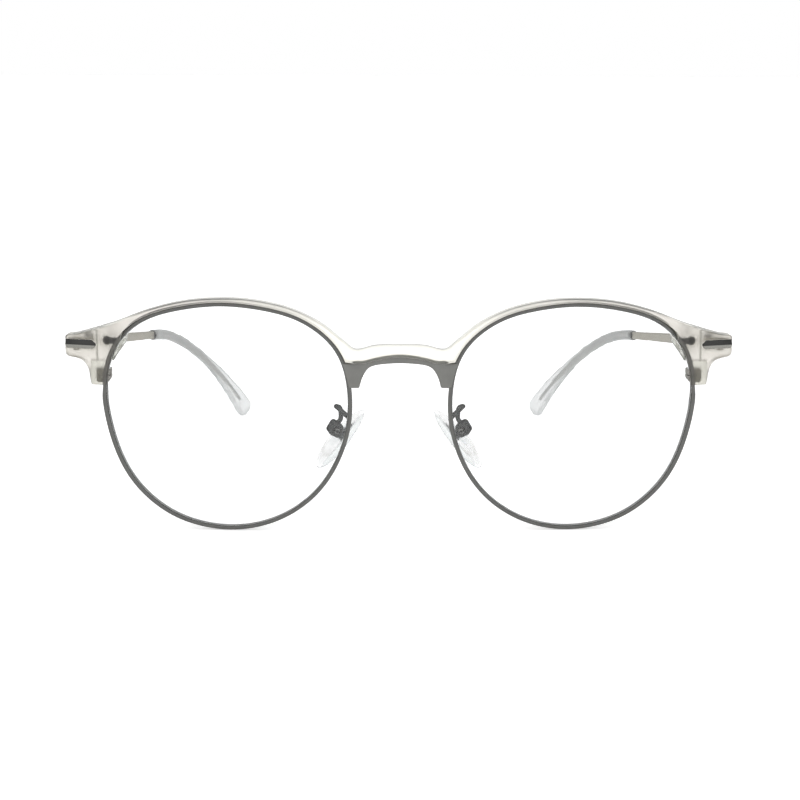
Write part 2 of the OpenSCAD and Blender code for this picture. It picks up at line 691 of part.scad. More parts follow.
module pad_arm() {
  color([0.35, 0.36, 0.35]) difference() {
    skin([for (i = [0:len(arm_path) - 1])
      [for (k = [0:7])
        let(a = 45 * k, u = arm_side(i), v = cross(u, arm_run(i)))
        arm_path[i] + arm_r * (cos(a) * u + sin(a) * v)]]);
    rim_room();
    in_pad() pad_box_body();
  }
}

// Frame of a pad: X down its length, Y along the pad screw, Z away from the nose
module in_pad() translate(pad_mid) rotate([pad_splay, pad_lean, 0]) children();

module pad_box_body() {
  translate([-box_size.x / 2, -box_size.y / 2, box_low]) cube(box_size);
}
box_low = rock_up + tab_r + 0.15 + box_wall - box_size.z;

module pad_box() {
  room = [box_size.x - 2 * box_wall + 0.2, tab_t + 2 * tab_fit, box_size.z];
  color([0.38, 0.39, 0.38]) in_pad() difference() {
    pad_box_body();
    translate([-room.x / 2, -room.y / 2, box_low - box_wall]) cube(room);
    translate([0, 0, rock_up]) rotate([90, 0, 0])
      cylinder(r = pad_screw_r + turn_fit, h = box_size.y + 2 * past, center = true);
  }
}

module pad_screw() {
  color([0.55, 0.55, 0.54]) in_pad() translate([0, 0, rock_up]) rotate([90, 0, 0]) {
    translate([0, 0, -box_size.y / 2]) cylinder(r = pad_screw_r, h = box_size.y);
    translate([0, 0, box_size.y / 2]) cylinder(r = pad_screw_r + head_lip, h = head_h);
  }
}

module pad_stem() {
  neck_w = 1.5 * tab_r;
  color([0.8, 0.8, 0.8]) in_pad() difference() {
    union() {
      pad_plate(plate_t);
      translate([-neck_w / 2, -tab_t / 2, pad_t / 2 - plate_t / 4])
        cube([neck_w, tab_t, rock_up - pad_t / 2 + plate_t / 4]);
      translate([0, 0, rock_up]) rotate([90, 0, 0]) cylinder(r = tab_r, h = tab_t, center = true);
    }
    translate([0, 0, rock_up]) rotate([90, 0, 0])
      cylinder(r = pad_screw_r + turn_fit, h = tab_t + 2 * past, center = true);
  }
}

// Oval plate let into the back of the pad
module pad_plate(h) {
  translate([pad_hang, 0, pad_t / 2 - plate_t]) linear_extrude(h)
    polygon([for (a = [0:15:345]) [plate_l / 2 * cos(a), plate_w / 2 * sin(a)]]);
}

module nose_pad() {
  outline = [for (a = [0:10:350]) [pad_l / 2 * cos(a), pad_w / 2 * sin(a) * (1 + 0.12 * cos(a))]];
  color([0.92, 0.94, 0.94, 0.6]) in_pad() difference() {
    translate([pad_hang, 0, 0]) intersection() {
      translate([0, 0, -pad_t / 2]) linear_extrude(pad_t) polygon(outline);
      translate([0, 0, pad_crown - pad_t / 2]) sphere(r = pad_crown, $fn = 180);
    }
    pad_plate(plate_t + past);
  }
}

brow_bar();
bridge();
left() rim();  // left_rim
right() rim();  // right_rim
left() lens();  // left_lens
right() lens();  // right_lens
left() rim_lock(false);  // left_rim_lock_upper
right() rim_lock(false);  // right_rim_lock_upper
left() rim_lock(true);  // left_rim_lock_lower
right() rim_lock(true);  // right_rim_lock_lower
left() rim_lock_screw();  // left_rim_lock_screw
right() rim_lock_screw();  // right_rim_lock_screw
left() brow_lug();  // left_brow_lug
right() brow_lug();  // right_brow_lug
left() brow_screw();  // left_brow_screw
right() brow_screw();  // right_brow_screw
left() trim();  // left_trim
right() trim();  // right_trim
left() hinge_front_leaf();  // left_hinge_front_leaf
right() hinge_front_leaf();  // right_hinge_front_leaf
left() hinge_temple_leaf();  // left_hinge_temple_leaf
right() hinge_temple_leaf();  // right_hinge_temple_leaf
left() hinge_screw();  // left_hinge_screw
right() hinge_screw();  // right_hinge_screw
left() temple_bar();  // left_temple_bar
right() temple_bar();  // right_temple_bar
left() temple_collar();  // left_temple_collar
right() temple_collar();  // right_temple_collar
left() temple_tip();  // left_temple_tip
right() temple_tip();  // right_temple_tip
left() pad_arm();  // left_pad_arm
right() pad_arm();  // right_pad_arm
left() pad_box();  // left_pad_box
right() pad_box();  // right_pad_box
left() pad_screw();  // left_pad_screw
right() pad_screw();  // right_pad_screw
left() pad_stem();  // left_pad_stem
right() pad_stem();  // right_pad_stem
left() nose_pad();  // left_nose_pad
right() nose_pad();  // right_nose_pad
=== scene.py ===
"""Round eyeglasses: wire rims under a frosted clear brow bar, with slim folding temples.

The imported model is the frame. Each class here builds one sub-assembly of the glasses over
it, in millimetres, in the drawing's own frame: X to the wearer's left, Y from the lenses
to the ears, Z up, with the lenses near Y = 0. The left side is drawn and the right one
mirrors it.
"""

import logging
import math
from collections.abc import Callable, Sequence
from dataclasses import dataclass, field
from enum import Enum

import bmesh
import bpy
from bmesh.types import BMEdge, BMesh, BMVert
from bpy.types import Material, Node, NodeSocket, NodeTree, Object
from mathutils import Matrix, Vector


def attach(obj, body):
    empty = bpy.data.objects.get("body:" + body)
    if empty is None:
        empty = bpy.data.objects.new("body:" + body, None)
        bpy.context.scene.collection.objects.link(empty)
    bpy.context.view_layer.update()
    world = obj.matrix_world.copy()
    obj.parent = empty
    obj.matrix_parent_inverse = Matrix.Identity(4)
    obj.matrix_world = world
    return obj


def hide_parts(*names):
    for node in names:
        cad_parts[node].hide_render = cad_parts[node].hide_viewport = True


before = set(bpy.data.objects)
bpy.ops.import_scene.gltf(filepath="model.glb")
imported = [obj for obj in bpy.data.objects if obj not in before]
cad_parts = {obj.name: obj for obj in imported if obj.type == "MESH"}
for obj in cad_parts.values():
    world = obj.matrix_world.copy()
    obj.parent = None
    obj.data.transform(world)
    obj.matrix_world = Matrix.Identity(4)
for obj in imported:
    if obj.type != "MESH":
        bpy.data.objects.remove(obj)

LOG = logging.getLogger("eyeglasses")
MM = 0.001
# Slack in millimetres when the place of a face is compared with a plane
NEAR = 0.01
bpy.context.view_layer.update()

Places = Sequence[Sequence[float]]
Ring = list[Vector]


class Side(Enum):
    """A side of the wearer, and the sign of X there."""

    LEFT = 1
    RIGHT = -1

    @property
    def label(self) -> str:
        """Word that starts the names of this side's nodes and bodies."""
        return self.name.lower()


class Body(Enum):
    """The moving bodies of the glasses, without their side."""

    FRONT = "front"
    TEMPLE = "temple"
    PAD = "pad"

    def of(self, side: Side | None) -> str:
        """Name of this body on the given side."""
        return self.value if self is Body.FRONT else f"{side.label}_{self.value}"


def sind(degrees: float) -> float:
    """Sine of an angle in degrees."""
    return math.sin(math.radians(degrees))


def cosd(degrees: float) -> float:
    """Cosine of an angle in degrees."""
    return math.cos(math.radians(degrees))


def ease(share: float) -> float:
    """Smooth step from 0 to 1."""
    share = min(max(share, 0.0), 1.0)
    return share * share * (3 - 2 * share)


def blend(start: float, end: float, share: float) -> float:
    """Value that lies a share of the way from start to end."""
    return start + (end - start) * share


def curve(points: Places, steps: int) -> list[Vector]:
    """Smooth curve through a few points.

    Args:
        points: The points, in two or three dimensions.
        steps: Number of steps between two of them.

    Returns:
        The points of the curve, the given ones among them.
    """
    known = [Vector(p) for p in points]
    last = len(known) - 1
    made = []
    for i in range(last):
        a, b, c, d = (known[max(i - 1, 0)], known[i], known[i + 1], known[min(i + 2, last)])
        for k in range(steps):
            u = k / steps
            made.append(0.5 * (2 * b + (c - a) * u + (2 * a - 5 * b + 4 * c - d) * u ** 2
                               + (3 * b - a - 3 * c + d) * u ** 3))
    return made + [known[last]]


def evenly(points: Sequence[Vector], count: int) -> list[Vector]:
    """Points spaced evenly along a line of points.

    Args:
        points: The line.
        count: Number of steps.

    Returns:
        The count + 1 points from one end to the other.
    """
    lengths = [(b - a).length for a, b in zip(points, points[1:])]
    total = sum(lengths)
    made = []
    for k in range(count + 1):
        rest = total * k / count
        index = 0
        while index < len(lengths) - 1 and rest > lengths[index]:
            rest -= lengths[index]
            index += 1
        made.append(points[index].lerp(points[index + 1], min(rest / lengths[index], 1.0)))
    return made


@dataclass(frozen=True)
class LensPlan:
    """The outline and curve of a lens and its rim, which everything on the front follows."""

    radius: float = 24.0
    oval: float = 0.04
    lean: float = 0.012
    taper: float = 0.04
    square: float = 0.02
    crest: float = 0.0115
    # Small departures of the real wire from that outline, as angle, size and spread
    fine: tuple[tuple[float, float, float], ...] = (
        (138.0, -0.3, 13.0), (184.0, 0.4, 16.0), (345.0, -0.25, 20.0), (64.0, -0.12, 14.0),
        (298.0, 0.12, 14.0))
    nose_half: float = 10.92
    base_radius: float = 130.0
    wrap: float = 4.0
    thickness: float = 1.6
    rim_width: float = 1.0
    rim_depth: float = 1.9
    # Shares of the rim's width: mean, swing and angle of its slimmest place
    wire_mean: float = 0.92
    wire_swing: float = 0.12
    slim_at: float = 215.0
    # Angles of the rim inside the lobe, the run over which the wire slims, and by how much
    lobe_from: float = 6.0
    lobe_to: float = 36.0
    lobe_run: float = 8.0
    lobe_slim: float = 0.2
    table_sink: float = 0.04

    def plain_edge(self, angle: float) -> float:
        """Radius of the lens before its crest, which sets where the lens lies."""
        return self.radius * (1 + self.oval * cosd(2 * angle) + self.lean * sind(2 * angle)
                              + self.taper * sind(3 * angle) - self.square * cosd(4 * angle))

    def edge(self, angle: float) -> float:
        """Radius of the lens at an angle, 0 at the temple and 90 at the top."""
        crest = self.crest * cosd(6 * angle) * (0.6 + 0.4 * sind(angle))
        fine = sum(size * math.exp(-(((angle - at + 180) % 360 - 180) / spread) ** 2)
                   for at, size, spread in self.fine)
        return self.plain_edge(angle) - self.radius * crest + fine

    def in_lobe(self, angle: float) -> float:
        """Share by which an angle on the rim lies inside the plastic lobe."""
        angle %= 360
        return (ease((angle - self.lobe_from) / self.lobe_run)
                * (1 - ease((angle - self.lobe_to) / self.lobe_run)))

    def wire(self, angle: float) -> float:
        """Width of the rim wire, slimmer towards the nose and inside the lobe."""
        return self.rim_width * (self.wire_mean - self.wire_swing * cosd(angle - self.slim_at)
                                 - self.lobe_slim * self.in_lobe(angle))

    @property
    def x(self) -> float:
        """Distance of the middle of the lens from the middle of the nose."""
        return self.nose_half + self.plain_edge(180)

    @property
    def z(self) -> float:
        """Height of the middle of the lens, with the rim standing on the table."""
        lean = math.asin(self.edge(270) / self.base_radius)
        return (self.edge(270) + self.rim_width * math.cos(lean)
                + self.rim_depth / 2 * math.sin(lean) - self.table_sink)

    @property
    def ball(self) -> Vector:
        """Centre of the ball on which the lens lies."""
        return Vector((self.x - self.base_radius * sind(self.wrap),
                       self.base_radius * cosd(self.wrap), self.z))

    def face_y(self, x: float, z: float) -> float:
        """Depth of the ball's surface at a place seen from the front."""
        ball = self.ball
        return ball.y - math.sqrt(self.base_radius ** 2 - (x - ball.x) ** 2 - (z - ball.z) ** 2)

    def point(self, angle: float) -> Vector:
        """Point on the inner edge of the rim."""
        x = self.x + self.edge(angle) * cosd(angle)
        z = self.z + self.edge(angle) * sind(angle)
        return Vector((x, self.face_y(x, z), z))

    def place(self, angle: float, out: float, ahead: float) -> Vector:
        """Point beside the inner edge of the rim.

        Args:
            angle: Where on the rim.
            out: Distance away from the lens.
            ahead: Distance forwards.

        Returns:
            The point.
        """
        here = self.point(angle)
        forwards = (here - self.ball).normalized()
        along = (self.point(angle + 0.5) - self.point(angle - 0.5)).normalized()
        return here + out * along.cross(forwards).normalized() + ahead * forwards

    def behind(self, angle: float) -> Vector:
        """Point on the back of the rim wire."""
        return self.place(angle, self.rim_width / 2, -self.rim_depth / 2)

    def beside(self, spot: Vector) -> tuple[float, float]:
        """Angle of a place round the lens, and how far it lies outside the lens edge."""
        across, up = spot.x - self.x, spot.z - self.z
        angle = math.degrees(math.atan2(up, across))
        return angle, math.hypot(across, up) - self.edge(angle)

    def flat(self, angle: float, out: float) -> Vector:
        """Place on the rim seen from the front, as [x, z]."""
        reach = self.edge(angle) + out
        return Vector((self.x + reach * cosd(angle), self.z + reach * sind(angle)))


@dataclass(frozen=True)
class FrontPlan:
    """Places on the front that the brow bar, the hinges and the temples share."""

    lens: LensPlan = LensPlan()
    end_past: float = 8.92
    hinge_up: float = 13.46
    bridge_up: float = 12.16
    lobe_drop: float = 8.0
    brow_ahead: float = 1.8
    brow_behind: float = 2.1
    pin_in: float = 5.2
    barrel_radius: float = 1.1
    leaf_thickness: float = 0.8
    bar_thickness: float = 1.4
    stop_gap: float = 0.06
    # Distances from the end of the front at which its line is known past the lens
    end_knots: tuple[float, ...] = (10.8, 6.8, 3.3, 0.0)

    @property
    def end_x(self) -> float:
        """Half the width of the front."""
        return self.lens.x + self.lens.plain_edge(0) + self.end_past

    @property
    def hinge_z(self) -> float:
        """Height of the middle of the hinges."""
        return self.lens.z + self.hinge_up

    @property
    def bridge_top(self) -> float:
        """Height of the top of the bridge at the nose."""
        return self.lens.z + self.bridge_up

    @property
    def lobe_z(self) -> float:
        """Height of the foot of the end lobes."""
        return self.hinge_z - self.lobe_drop

    @property
    def bar_x(self) -> float:
        """Distance of a temple bar from the middle of the nose at its hinge."""
        return (self.end_x - self.pin_in + self.barrel_radius + 0.1
                + self.leaf_thickness + self.bar_thickness / 2)

    def bridge_line(self, top: float, ends: Places, steps: int) -> list[Vector]:
        """Line over the bridge from the middle of the nose, seen from the front.

        Args:
            top: Its height at the nose.
            ends: The points that it ends with.
            steps: Number of steps between two of its points.

        Returns:
            The points of the line.
        """
        nose = self.lens.nose_half
        arch = [(-2.6, top - 0.2), (0.0, top), (nose - 8.32, top - 0.2),
                (nose - 5.72, top - 0.7), (nose - 3.32, top - 1.3)]
        return curve(arch + list(ends), steps)[steps:]

    def mid_points(self) -> list[Vector]:
        """Line of the rims seen from above, as [x, y], from the nose to the end."""
        over = [self.lens.point(angle) for angle in range(150, 49, -10)]
        ends = [self.end_x - back for back in self.end_knots]
        return ([Vector((0.0, over[0].y - 0.1))] + [Vector((p.x, p.y)) for p in over]
                + [Vector((x, self.lens.face_y(x, self.hinge_z))) for x in ends])

    def mid_y(self, x: float) -> float:
        """Depth of the line of the rims at a distance from the nose."""
        x = abs(x)
        known = self.mid_points()
        index = max(i for i, p in enumerate(known[:-1]) if p.x <= x or i == 0)
        a, b = known[index], known[index + 1]
        before, after = known[max(index - 1, 0)], known[min(index + 2, len(known) - 1)]
        run = b.x - a.x
        rise_a = (b.y - before.y) / (b.x - before.x) * run if index else 0.0
        rise_b = (after.y - a.y) / (after.x - a.x) * run
        u = (x - a.x) / run
        return ((2 * u ** 3 - 3 * u ** 2 + 1) * a.y + (u ** 3 - 2 * u ** 2 + u) * rise_a
                + (3 * u ** 2 - 2 * u ** 3) * b.y + (u ** 3 - u ** 2) * rise_b)

    @property
    def end_back(self) -> float:
        """Depth of the hinge seat at the back of an end piece."""
        return self.mid_points()[-1].y + self.brow_behind

    @property
    def cut_back(self) -> float:
        """Depth to which the cutters reach, well behind an end piece."""
        return self.end_back + 4.0


@dataclass(frozen=True)
class TemplePath:
    """The line that a temple follows from its hinge to its end."""

    front: FrontPlan = FrontPlan()
    length: float = 145.0
    drop: float = 6.8
    toe: float = 6.8
    leaf_length: float = 6.5
    taper_run: float = 20.0
    bend_at: float = 77.5
    bend_run: float = 76.0
    bend_drop: float = 54.0
    toe_late: float = 3.5
    toe_run: float = 61.0
    bend_toe: float = 37.0
    foot_z: float = 0.5798
    raw: list[Vector] = field(default_factory=list)

    def __post_init__(self) -> None:
        """Works the path out once, a millimetre at a time."""
        here = Vector((0.0, 0.0, 0.0))
        for step in range(int(self.length) + 1):
            self.raw.append(here.copy())
            here = here + self.heading(step + 0.5)

    def heading(self, s: float) -> Vector:
        """Direction of the path at a distance from the hinge, before its fall is set."""
        toe = (self.toe * ease((s - self.leaf_length) / self.taper_run)
               + (self.bend_toe - self.toe)
               * ease((s - self.bend_at - self.toe_late) / self.toe_run))
        drop = self.drop + (self.bend_drop - self.drop) * ease((s - self.bend_at) / self.bend_run)
        return Vector((-sind(toe) * cosd(drop), cosd(toe) * cosd(drop), -sind(drop)))

    @property
    def fall(self) -> float:
        """Scale of the path's height that brings its end to the table."""
        return (self.front.hinge_z - self.foot_z) / -self.raw[int(self.length)].z

    def point(self, s: float) -> Vector:
        """Point of the path at a distance from the hinge."""
        index = min(int(s), int(self.length) - 1)
        here = self.raw[index].lerp(self.raw[index + 1], s - index)
        return Vector((self.front.bar_x + here.x,
                       self.front.end_back + self.front.stop_gap + here.y,
                       self.front.hinge_z + here.z * self.fall))

    def across(self, s: float) -> tuple[Vector, Vector]:
        """Directions to the side and upwards, square to the path."""
        if s < 0.1:
            return Vector((1, 0, 0)), Vector((0, 0, 1))
        way = self.heading(s)
        run = Vector((way.x, way.y, way.z * self.fall)).normalized()
        up = (Vector((0, 0, 1)) - run.z * run).normalized()
        return run.cross(up), up


PLAN = FrontPlan()
LENS = PLAN.lens
PATH = TemplePath()
# Middle of the glasses from front to back, which is the frame's Y = 0
MID_Y = (LENS.ball.y - LENS.base_radius - LENS.thickness / 2 + PATH.point(PATH.length).y + 1) / 2


def swept(rings: Sequence[Ring]) -> BMesh:
    """Closed skin drawn by extruding the first of some rings of points through the others."""
    bm = bmesh.new()
    verts = [bm.verts.new(p) for p in rings[0]]
    first_edges = edges = [bm.edges.new(pair) for pair in zip(verts, verts[1:] + verts[:1])]
    for ring in rings[1:]:
        made = bmesh.ops.extrude_edge_only(bm, edges=edges)["geom"]
        fresh = {item for item in made if isinstance(item, BMVert)}
        edges = [item for item in made if isinstance(item, BMEdge)]
        verts = [next(e.other_vert(v) for e in v.link_edges if e.other_vert(v) in fresh)
                 for v in verts]
        for vert, place in zip(verts, ring):
            vert.co = place
    for rim in (first_edges, edges):
        bmesh.ops.contextual_create(bm, geom=rim)
    bmesh.ops.recalc_face_normals(bm, faces=bm.faces[:])
    return bm


def round_edges(bm: BMesh, width: float, segments: int = 2,
                least_angle: float = 30.0,
                picks: Callable[[BMEdge], bool] | None = None) -> None:
    """Rounds the sharp edges of a mesh.

    Args:
        bm: The mesh.
        width: Width of the rounding.
        segments: Number of flats in it.
        least_angle: Angle past which an edge is sharp.
        picks: Further test that an edge has to pass.
    """
    sharp = [e for e in bm.edges if len(e.link_faces) == 2
             and e.calc_face_angle(0.0) > math.radians(least_angle)
             and (picks is None or picks(e))]
    if sharp:
        bmesh.ops.bevel(bm, geom=sharp, offset=width, segments=segments, profile=0.5,
                        affect="EDGES", clamp_overlap=True, material=-1)


def moved(bm: BMesh, matrix: Matrix) -> BMesh:
    """The same mesh after a move or turn."""
    bmesh.ops.transform(bm, matrix=matrix, verts=bm.verts[:])
    return bm


def mirrored(bm: BMesh) -> BMesh:
    """The left half of a piece, trimmed in the middle of the nose and made whole."""
    bmesh.ops.bisect_plane(bm, geom=bm.verts[:] + bm.edges[:] + bm.faces[:],
                           plane_co=(0, 0, 0), plane_no=(-1, 0, 0), clear_outer=True)
    bmesh.ops.mirror(bm, geom=bm.verts[:] + bm.edges[:] + bm.faces[:], axis="X",
                     merge_dist=0.002)
    bmesh.ops.recalc_face_normals(bm, faces=bm.faces[:])
    return bm


def to_frame(bm: BMesh, side: Side = Side.LEFT) -> None:
    """Turns a mesh drawn on the left in millimetres into the frame's metres on a side."""
    bmesh.ops.translate(bm, verts=bm.verts[:], vec=(0, -MID_Y, 0))
    bmesh.ops.scale(bm, verts=bm.verts[:], vec=(MM * side.value, MM, MM))
    if side is Side.RIGHT:
        bmesh.ops.reverse_faces(bm, faces=bm.faces[:])


def carve(bm: BMesh, cutters: Sequence[BMesh]) -> BMesh:
    """Cuts closed shapes out of a closed mesh.

    Args:
        bm: The mesh, which is freed.
        cutters: The shapes to cut out, which are freed too.

    Returns:
        The carved mesh.
    """
    made = []
    for index, source in enumerate([bm, *cutters]):
        mesh = bpy.data.meshes.new(f"carving_{index}")
        source.to_mesh(mesh)
        source.free()
        made.append(placed(f"carving_{index}", mesh))
    for cutter in made[1:]:
        cut = made[0].modifiers.new(cutter.name, "BOOLEAN")
        cut.operation = "DIFFERENCE"
        cut.solver = "EXACT"
        cut.object = cutter
    graph = bpy.context.evaluated_depsgraph_get()
    carved = bpy.data.meshes.new_from_object(made[0].evaluated_get(graph), depsgraph=graph)
    result = bmesh.new()
    result.from_mesh(carved)
    for mesh in [carved, *[thing.data for thing in made]]:
        bpy.data.meshes.remove(mesh)
    return result


def block(low: Sequence[float], high: Sequence[float]) -> BMesh:
    """Closed box between two corners."""
    bm = bmesh.new()
    low, high = Vector(low), Vector(high)
    bmesh.ops.create_cube(bm, size=1.0)
    bmesh.ops.scale(bm, verts=bm.verts[:], vec=high - low)
    bmesh.ops.translate(bm, verts=bm.verts[:], vec=(low + high) / 2)
    return bm


def rod(start: Sequence[float], end: Sequence[float], radius: float,
        sides: int = 40) -> BMesh:
    """Closed round rod between two points."""
    bm = bmesh.new()
    start, end = Vector(start), Vector(end)
    turn = (end - start).to_track_quat("Z", "Y").to_matrix().to_4x4()
    bmesh.ops.create_cone(bm, cap_ends=True, segments=sides, radius1=radius, radius2=radius,
                          depth=(end - start).length,
                          matrix=Matrix.Translation((start + end) / 2) @ turn)
    return bm


def rounded_outline(low: Sequence[float], high: Sequence[float],
                    corners: Sequence[float]) -> list[tuple[float, float]]:
    """Outline of a rectangle with rounded corners.

    Args:
        low: Its lower left corner.
        high: Its upper right corner.
        corners: Radius of the lower left, lower right, upper right and upper left corner.

    Returns:
        The points of the outline.
    """
    made = []
    places = ((low[0], low[1], 1, 1, 180), (high[0], low[1], -1, 1, 270),
              (high[0], high[1], -1, -1, 0), (low[0], high[1], 1, -1, 90))
    for (x, z, way_x, way_z, turn), r in zip(places, corners):
        made += [(x + way_x * r + r * cosd(turn + a), z + way_z * r + r * sind(turn + a))
                 for a in (0, 18, 36, 54, 72, 90)]
    return made


def upright(outline: Places, front: float, back: float) -> BMesh:
    """Closed piece with an outline seen from the front.

    Args:
        outline: Its [x, z] points.
        front: Depth of its front face.
        back: Depth of its back face.

    Returns:
        The piece.
    """
    bm = bmesh.new()
    face = bm.faces.new([bm.verts.new((x, front, z)) for x, z in outline])
    made = bmesh.ops.extrude_face_region(bm, geom=[face])["geom"]
    far_face = [item for item in made if isinstance(item, BMVert)]
    bmesh.ops.translate(bm, verts=far_face, vec=(0, back - front, 0))
    bmesh.ops.recalc_face_normals(bm, faces=bm.faces[:])
    return bm


def placed(name: str, data: bpy.types.ID) -> Object:
    """New object in the scene for some data."""
    thing = bpy.data.objects.new(name, data)
    bpy.context.scene.collection.objects.link(thing)
    return thing


def add_piece(side: Side | None, name: str, bm: BMesh, finishes: Sequence[Material],
              node: str | None, sharp_angle: float = 32.0,
              body: Body = Body.FRONT, drawn: bool = True) -> None:
    """Makes a finished piece of the glasses from its mesh.

    Args:
        side: Its side, whose word starts its name and its node's, or none in the middle.
        name: Name of the piece.
        bm: Its mesh, which is freed.
        finishes: Its materials.
        node: The node that it replaces, if any.
        sharp_angle: Angle past which an edge isn't shaded smooth.
        body: The body that it moves with.
        drawn: Whether the mesh is still as drawn, on the left and in millimetres.
    """
    if drawn:
        to_frame(bm, side or Side.LEFT)
    word = f"{side.label}_" if side else ""
    mesh = bpy.data.meshes.new(word + name)
    bm.to_mesh(mesh)
    bm.free()
    for finish in finishes:
        mesh.materials.append(finish)
    mesh.shade_smooth()
    mesh.set_sharp_from_angle(angle=math.radians(sharp_angle))
    piece = placed(word + name, mesh)
    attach(piece, body.of(side))
    if node:
        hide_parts(word + node)
    LOG.info("%s: %d faces on %s", piece.name, len(mesh.polygons), body.of(side))


def softened(node: str, width: float) -> BMesh:
    """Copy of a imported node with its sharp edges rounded.

    Args:
        node: The node.
        width: Width of the rounding in millimetres.

    Returns:
        The copy, in the frame's metres.
    """
    bm = bmesh.new()
    bm.from_mesh(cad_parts[node].data)
    bmesh.ops.remove_doubles(bm, verts=bm.verts[:], dist=2e-6)
    bmesh.ops.dissolve_limit(bm, angle_limit=math.radians(1.0), verts=bm.verts[:],
                             edges=bm.edges[:], use_dissolve_boundaries=False)
    round_edges(bm, width * MM, segments=2, least_angle=35.0)
    return bm


def add_node(tree: NodeTree, kind: str, inputs: dict[str | int, object] | None = None,
             **settings: object) -> Node:
    """Adds a node with its settings, values and links.

    Args:
        tree: The material's or world's nodes.
        kind: The node's type, without the ShaderNode that it starts with.
        inputs: A value or an output socket for each input that isn't left as it is.
        settings: The node's own properties.

    Returns:
        The node.
    """
    node = tree.nodes.new(f"ShaderNode{kind}")
    for key, value in settings.items():
        setattr(node, key, value)
    for key, value in (inputs or {}).items():
        if isinstance(value, NodeSocket):
            tree.links.new(value, node.inputs[key])
        else:
            node.inputs[key].default_value = value
    return node


def linear(code: str) -> tuple[float, float, float, float]:
    """Linear colour of an sRGB hex code such as "d8c9b0"."""
    parts = [int(code[i:i + 2], 16) / 255 for i in (0, 2, 4)]
    return (*[p / 12.92 if p <= 0.04045 else ((p + 0.055) / 1.055) ** 2.4 for p in parts], 1.0)


def per_metre(size_mm: float) -> float:
    """Texture scale that makes one feature of a pattern about this size."""
    return 1.0 / (size_mm * MM)


@dataclass(frozen=True)
class Grain:
    """A fine surface pattern: its size in millimetres, its depth, and its stretch."""

    size_mm: float = 0.25
    height_mm: float = 0.004
    stretch: tuple[float, float, float] = (1.0, 1.0, 1.0)
    detail: float = 4.0

    def pattern(self, tree: NodeTree) -> NodeSocket:
        """Adds the pattern and returns its value from 0 to 1."""
        place = add_node(tree, "TexCoord")
        turned = add_node(tree, "Mapping",
                          {"Vector": place.outputs["Object"], "Scale": self.stretch})
        noise = add_node(tree, "TexNoise",
                         {"Vector": turned.outputs["Vector"], "Scale": per_metre(self.size_mm),
                          "Detail": self.detail, "Roughness": 0.6})
        return noise.outputs["Fac"]

    def bump(self, tree: NodeTree, pattern: NodeSocket) -> NodeSocket:
        """Adds the relief of the pattern and returns its normal."""
        relief = add_node(tree, "Bump",
                          {"Height": pattern, "Distance": self.height_mm * MM,
                           "Strength": 1.0})
        return relief.outputs["Normal"]


def blank_material(name: str) -> tuple[Material, NodeTree]:
    """New material with an empty node tree."""
    material = bpy.data.materials.new(name)
    material.use_nodes = True
    material.node_tree.nodes.clear()
    return material, material.node_tree


def mix_colours(tree: NodeTree, share: NodeSocket,
                first: str, second: str) -> NodeSocket:
    """Adds a blend from one hex colour to another and returns its colour."""
    ramp = add_node(tree, "ValToRGB", {"Fac": share})
    ramp.color_ramp.elements[0].color = linear(first)
    ramp.color_ramp.elements[1].color = linear(second)
    return ramp.outputs["Color"]


def deepened(tree: NodeTree, colour: NodeSocket,
             deep: NodeSocket | str, power: float) -> NodeSocket:
    """Adds painted shade where clear plastic turns away, standing in for the darker things it
    refracts.

    Args:
        tree: The material's nodes.
        colour: The tint seen straight on.
        deep: The tint at a glancing angle, as a hex code or a socket.
        power: How closely the painted shade keeps to the edges.

    Returns:
        The colour.
    """
    # Painted shade: the tint darkens where the surface turns away from view
    facing = add_node(tree, "LayerWeight", {"Blend": 0.5})
    share = add_node(tree, "Math", {0: facing.outputs["Facing"], 1: power},
                     operation="POWER")
    deep = linear(deep) if isinstance(deep, str) else deep
    mixed = add_node(tree, "Mix", {0: share.outputs["Value"], 6: colour, 7: deep},
                     data_type="RGBA")
    return mixed.outputs[2]


@dataclass(frozen=True)
class Finish:
    """A finish: its two shades, the range of its roughness, and its grain."""

    name: str
    low: str
    high: str
    roughness: tuple[float, float] = (0.26, 0.4)
    grain: Grain = Grain()
    # Values of the grain between which the roughness changes
    spread = (0.3, 0.7)

    def values(self, tree: NodeTree, grain: NodeSocket) -> dict[str, object]:
        """Adds the nodes that only this kind has and returns the values that its shader gets.

        Args:
            tree: The material's nodes.
            grain: The pattern of its grain.

        Returns:
            A value or an output socket for each input of the shader.
        """
        raise NotImplementedError

    def make(self) -> Material:
        """Builds the material."""
        material, tree = blank_material(self.name)
        grain = self.grain.pattern(tree)
        rough = add_node(tree, "MapRange",
                         {"Value": grain, "From Min": self.spread[0],
                          "From Max": self.spread[1], "To Min": self.roughness[0],
                          "To Max": self.roughness[1]})
        shader = add_node(tree, "BsdfPrincipled",
                          {**self.values(tree, grain), "Roughness": rough.outputs["Result"],
                           "Normal": self.grain.bump(tree, grain)})
        add_node(tree, "OutputMaterial", {"Surface": shader.outputs["BSDF"]})
        return material


@dataclass(frozen=True)
class SatinMetal(Finish):
    """Metal with a satin plating: a soft sheen, fine grain and slightly uneven tone."""

    glancing: str = "b4b4b2"

    def values(self, tree: NodeTree, grain: NodeSocket) -> dict[str, object]:
        """A tone that drifts over the piece, and the paler sheen of a glancing look."""
        tone = Grain(size_mm=3.0, detail=2.0).pattern(tree)
        return {"Base Color": mix_colours(tree, tone, self.low, self.high), "Metallic": 1.0,
                "Specular Tint": linear(self.glancing)}


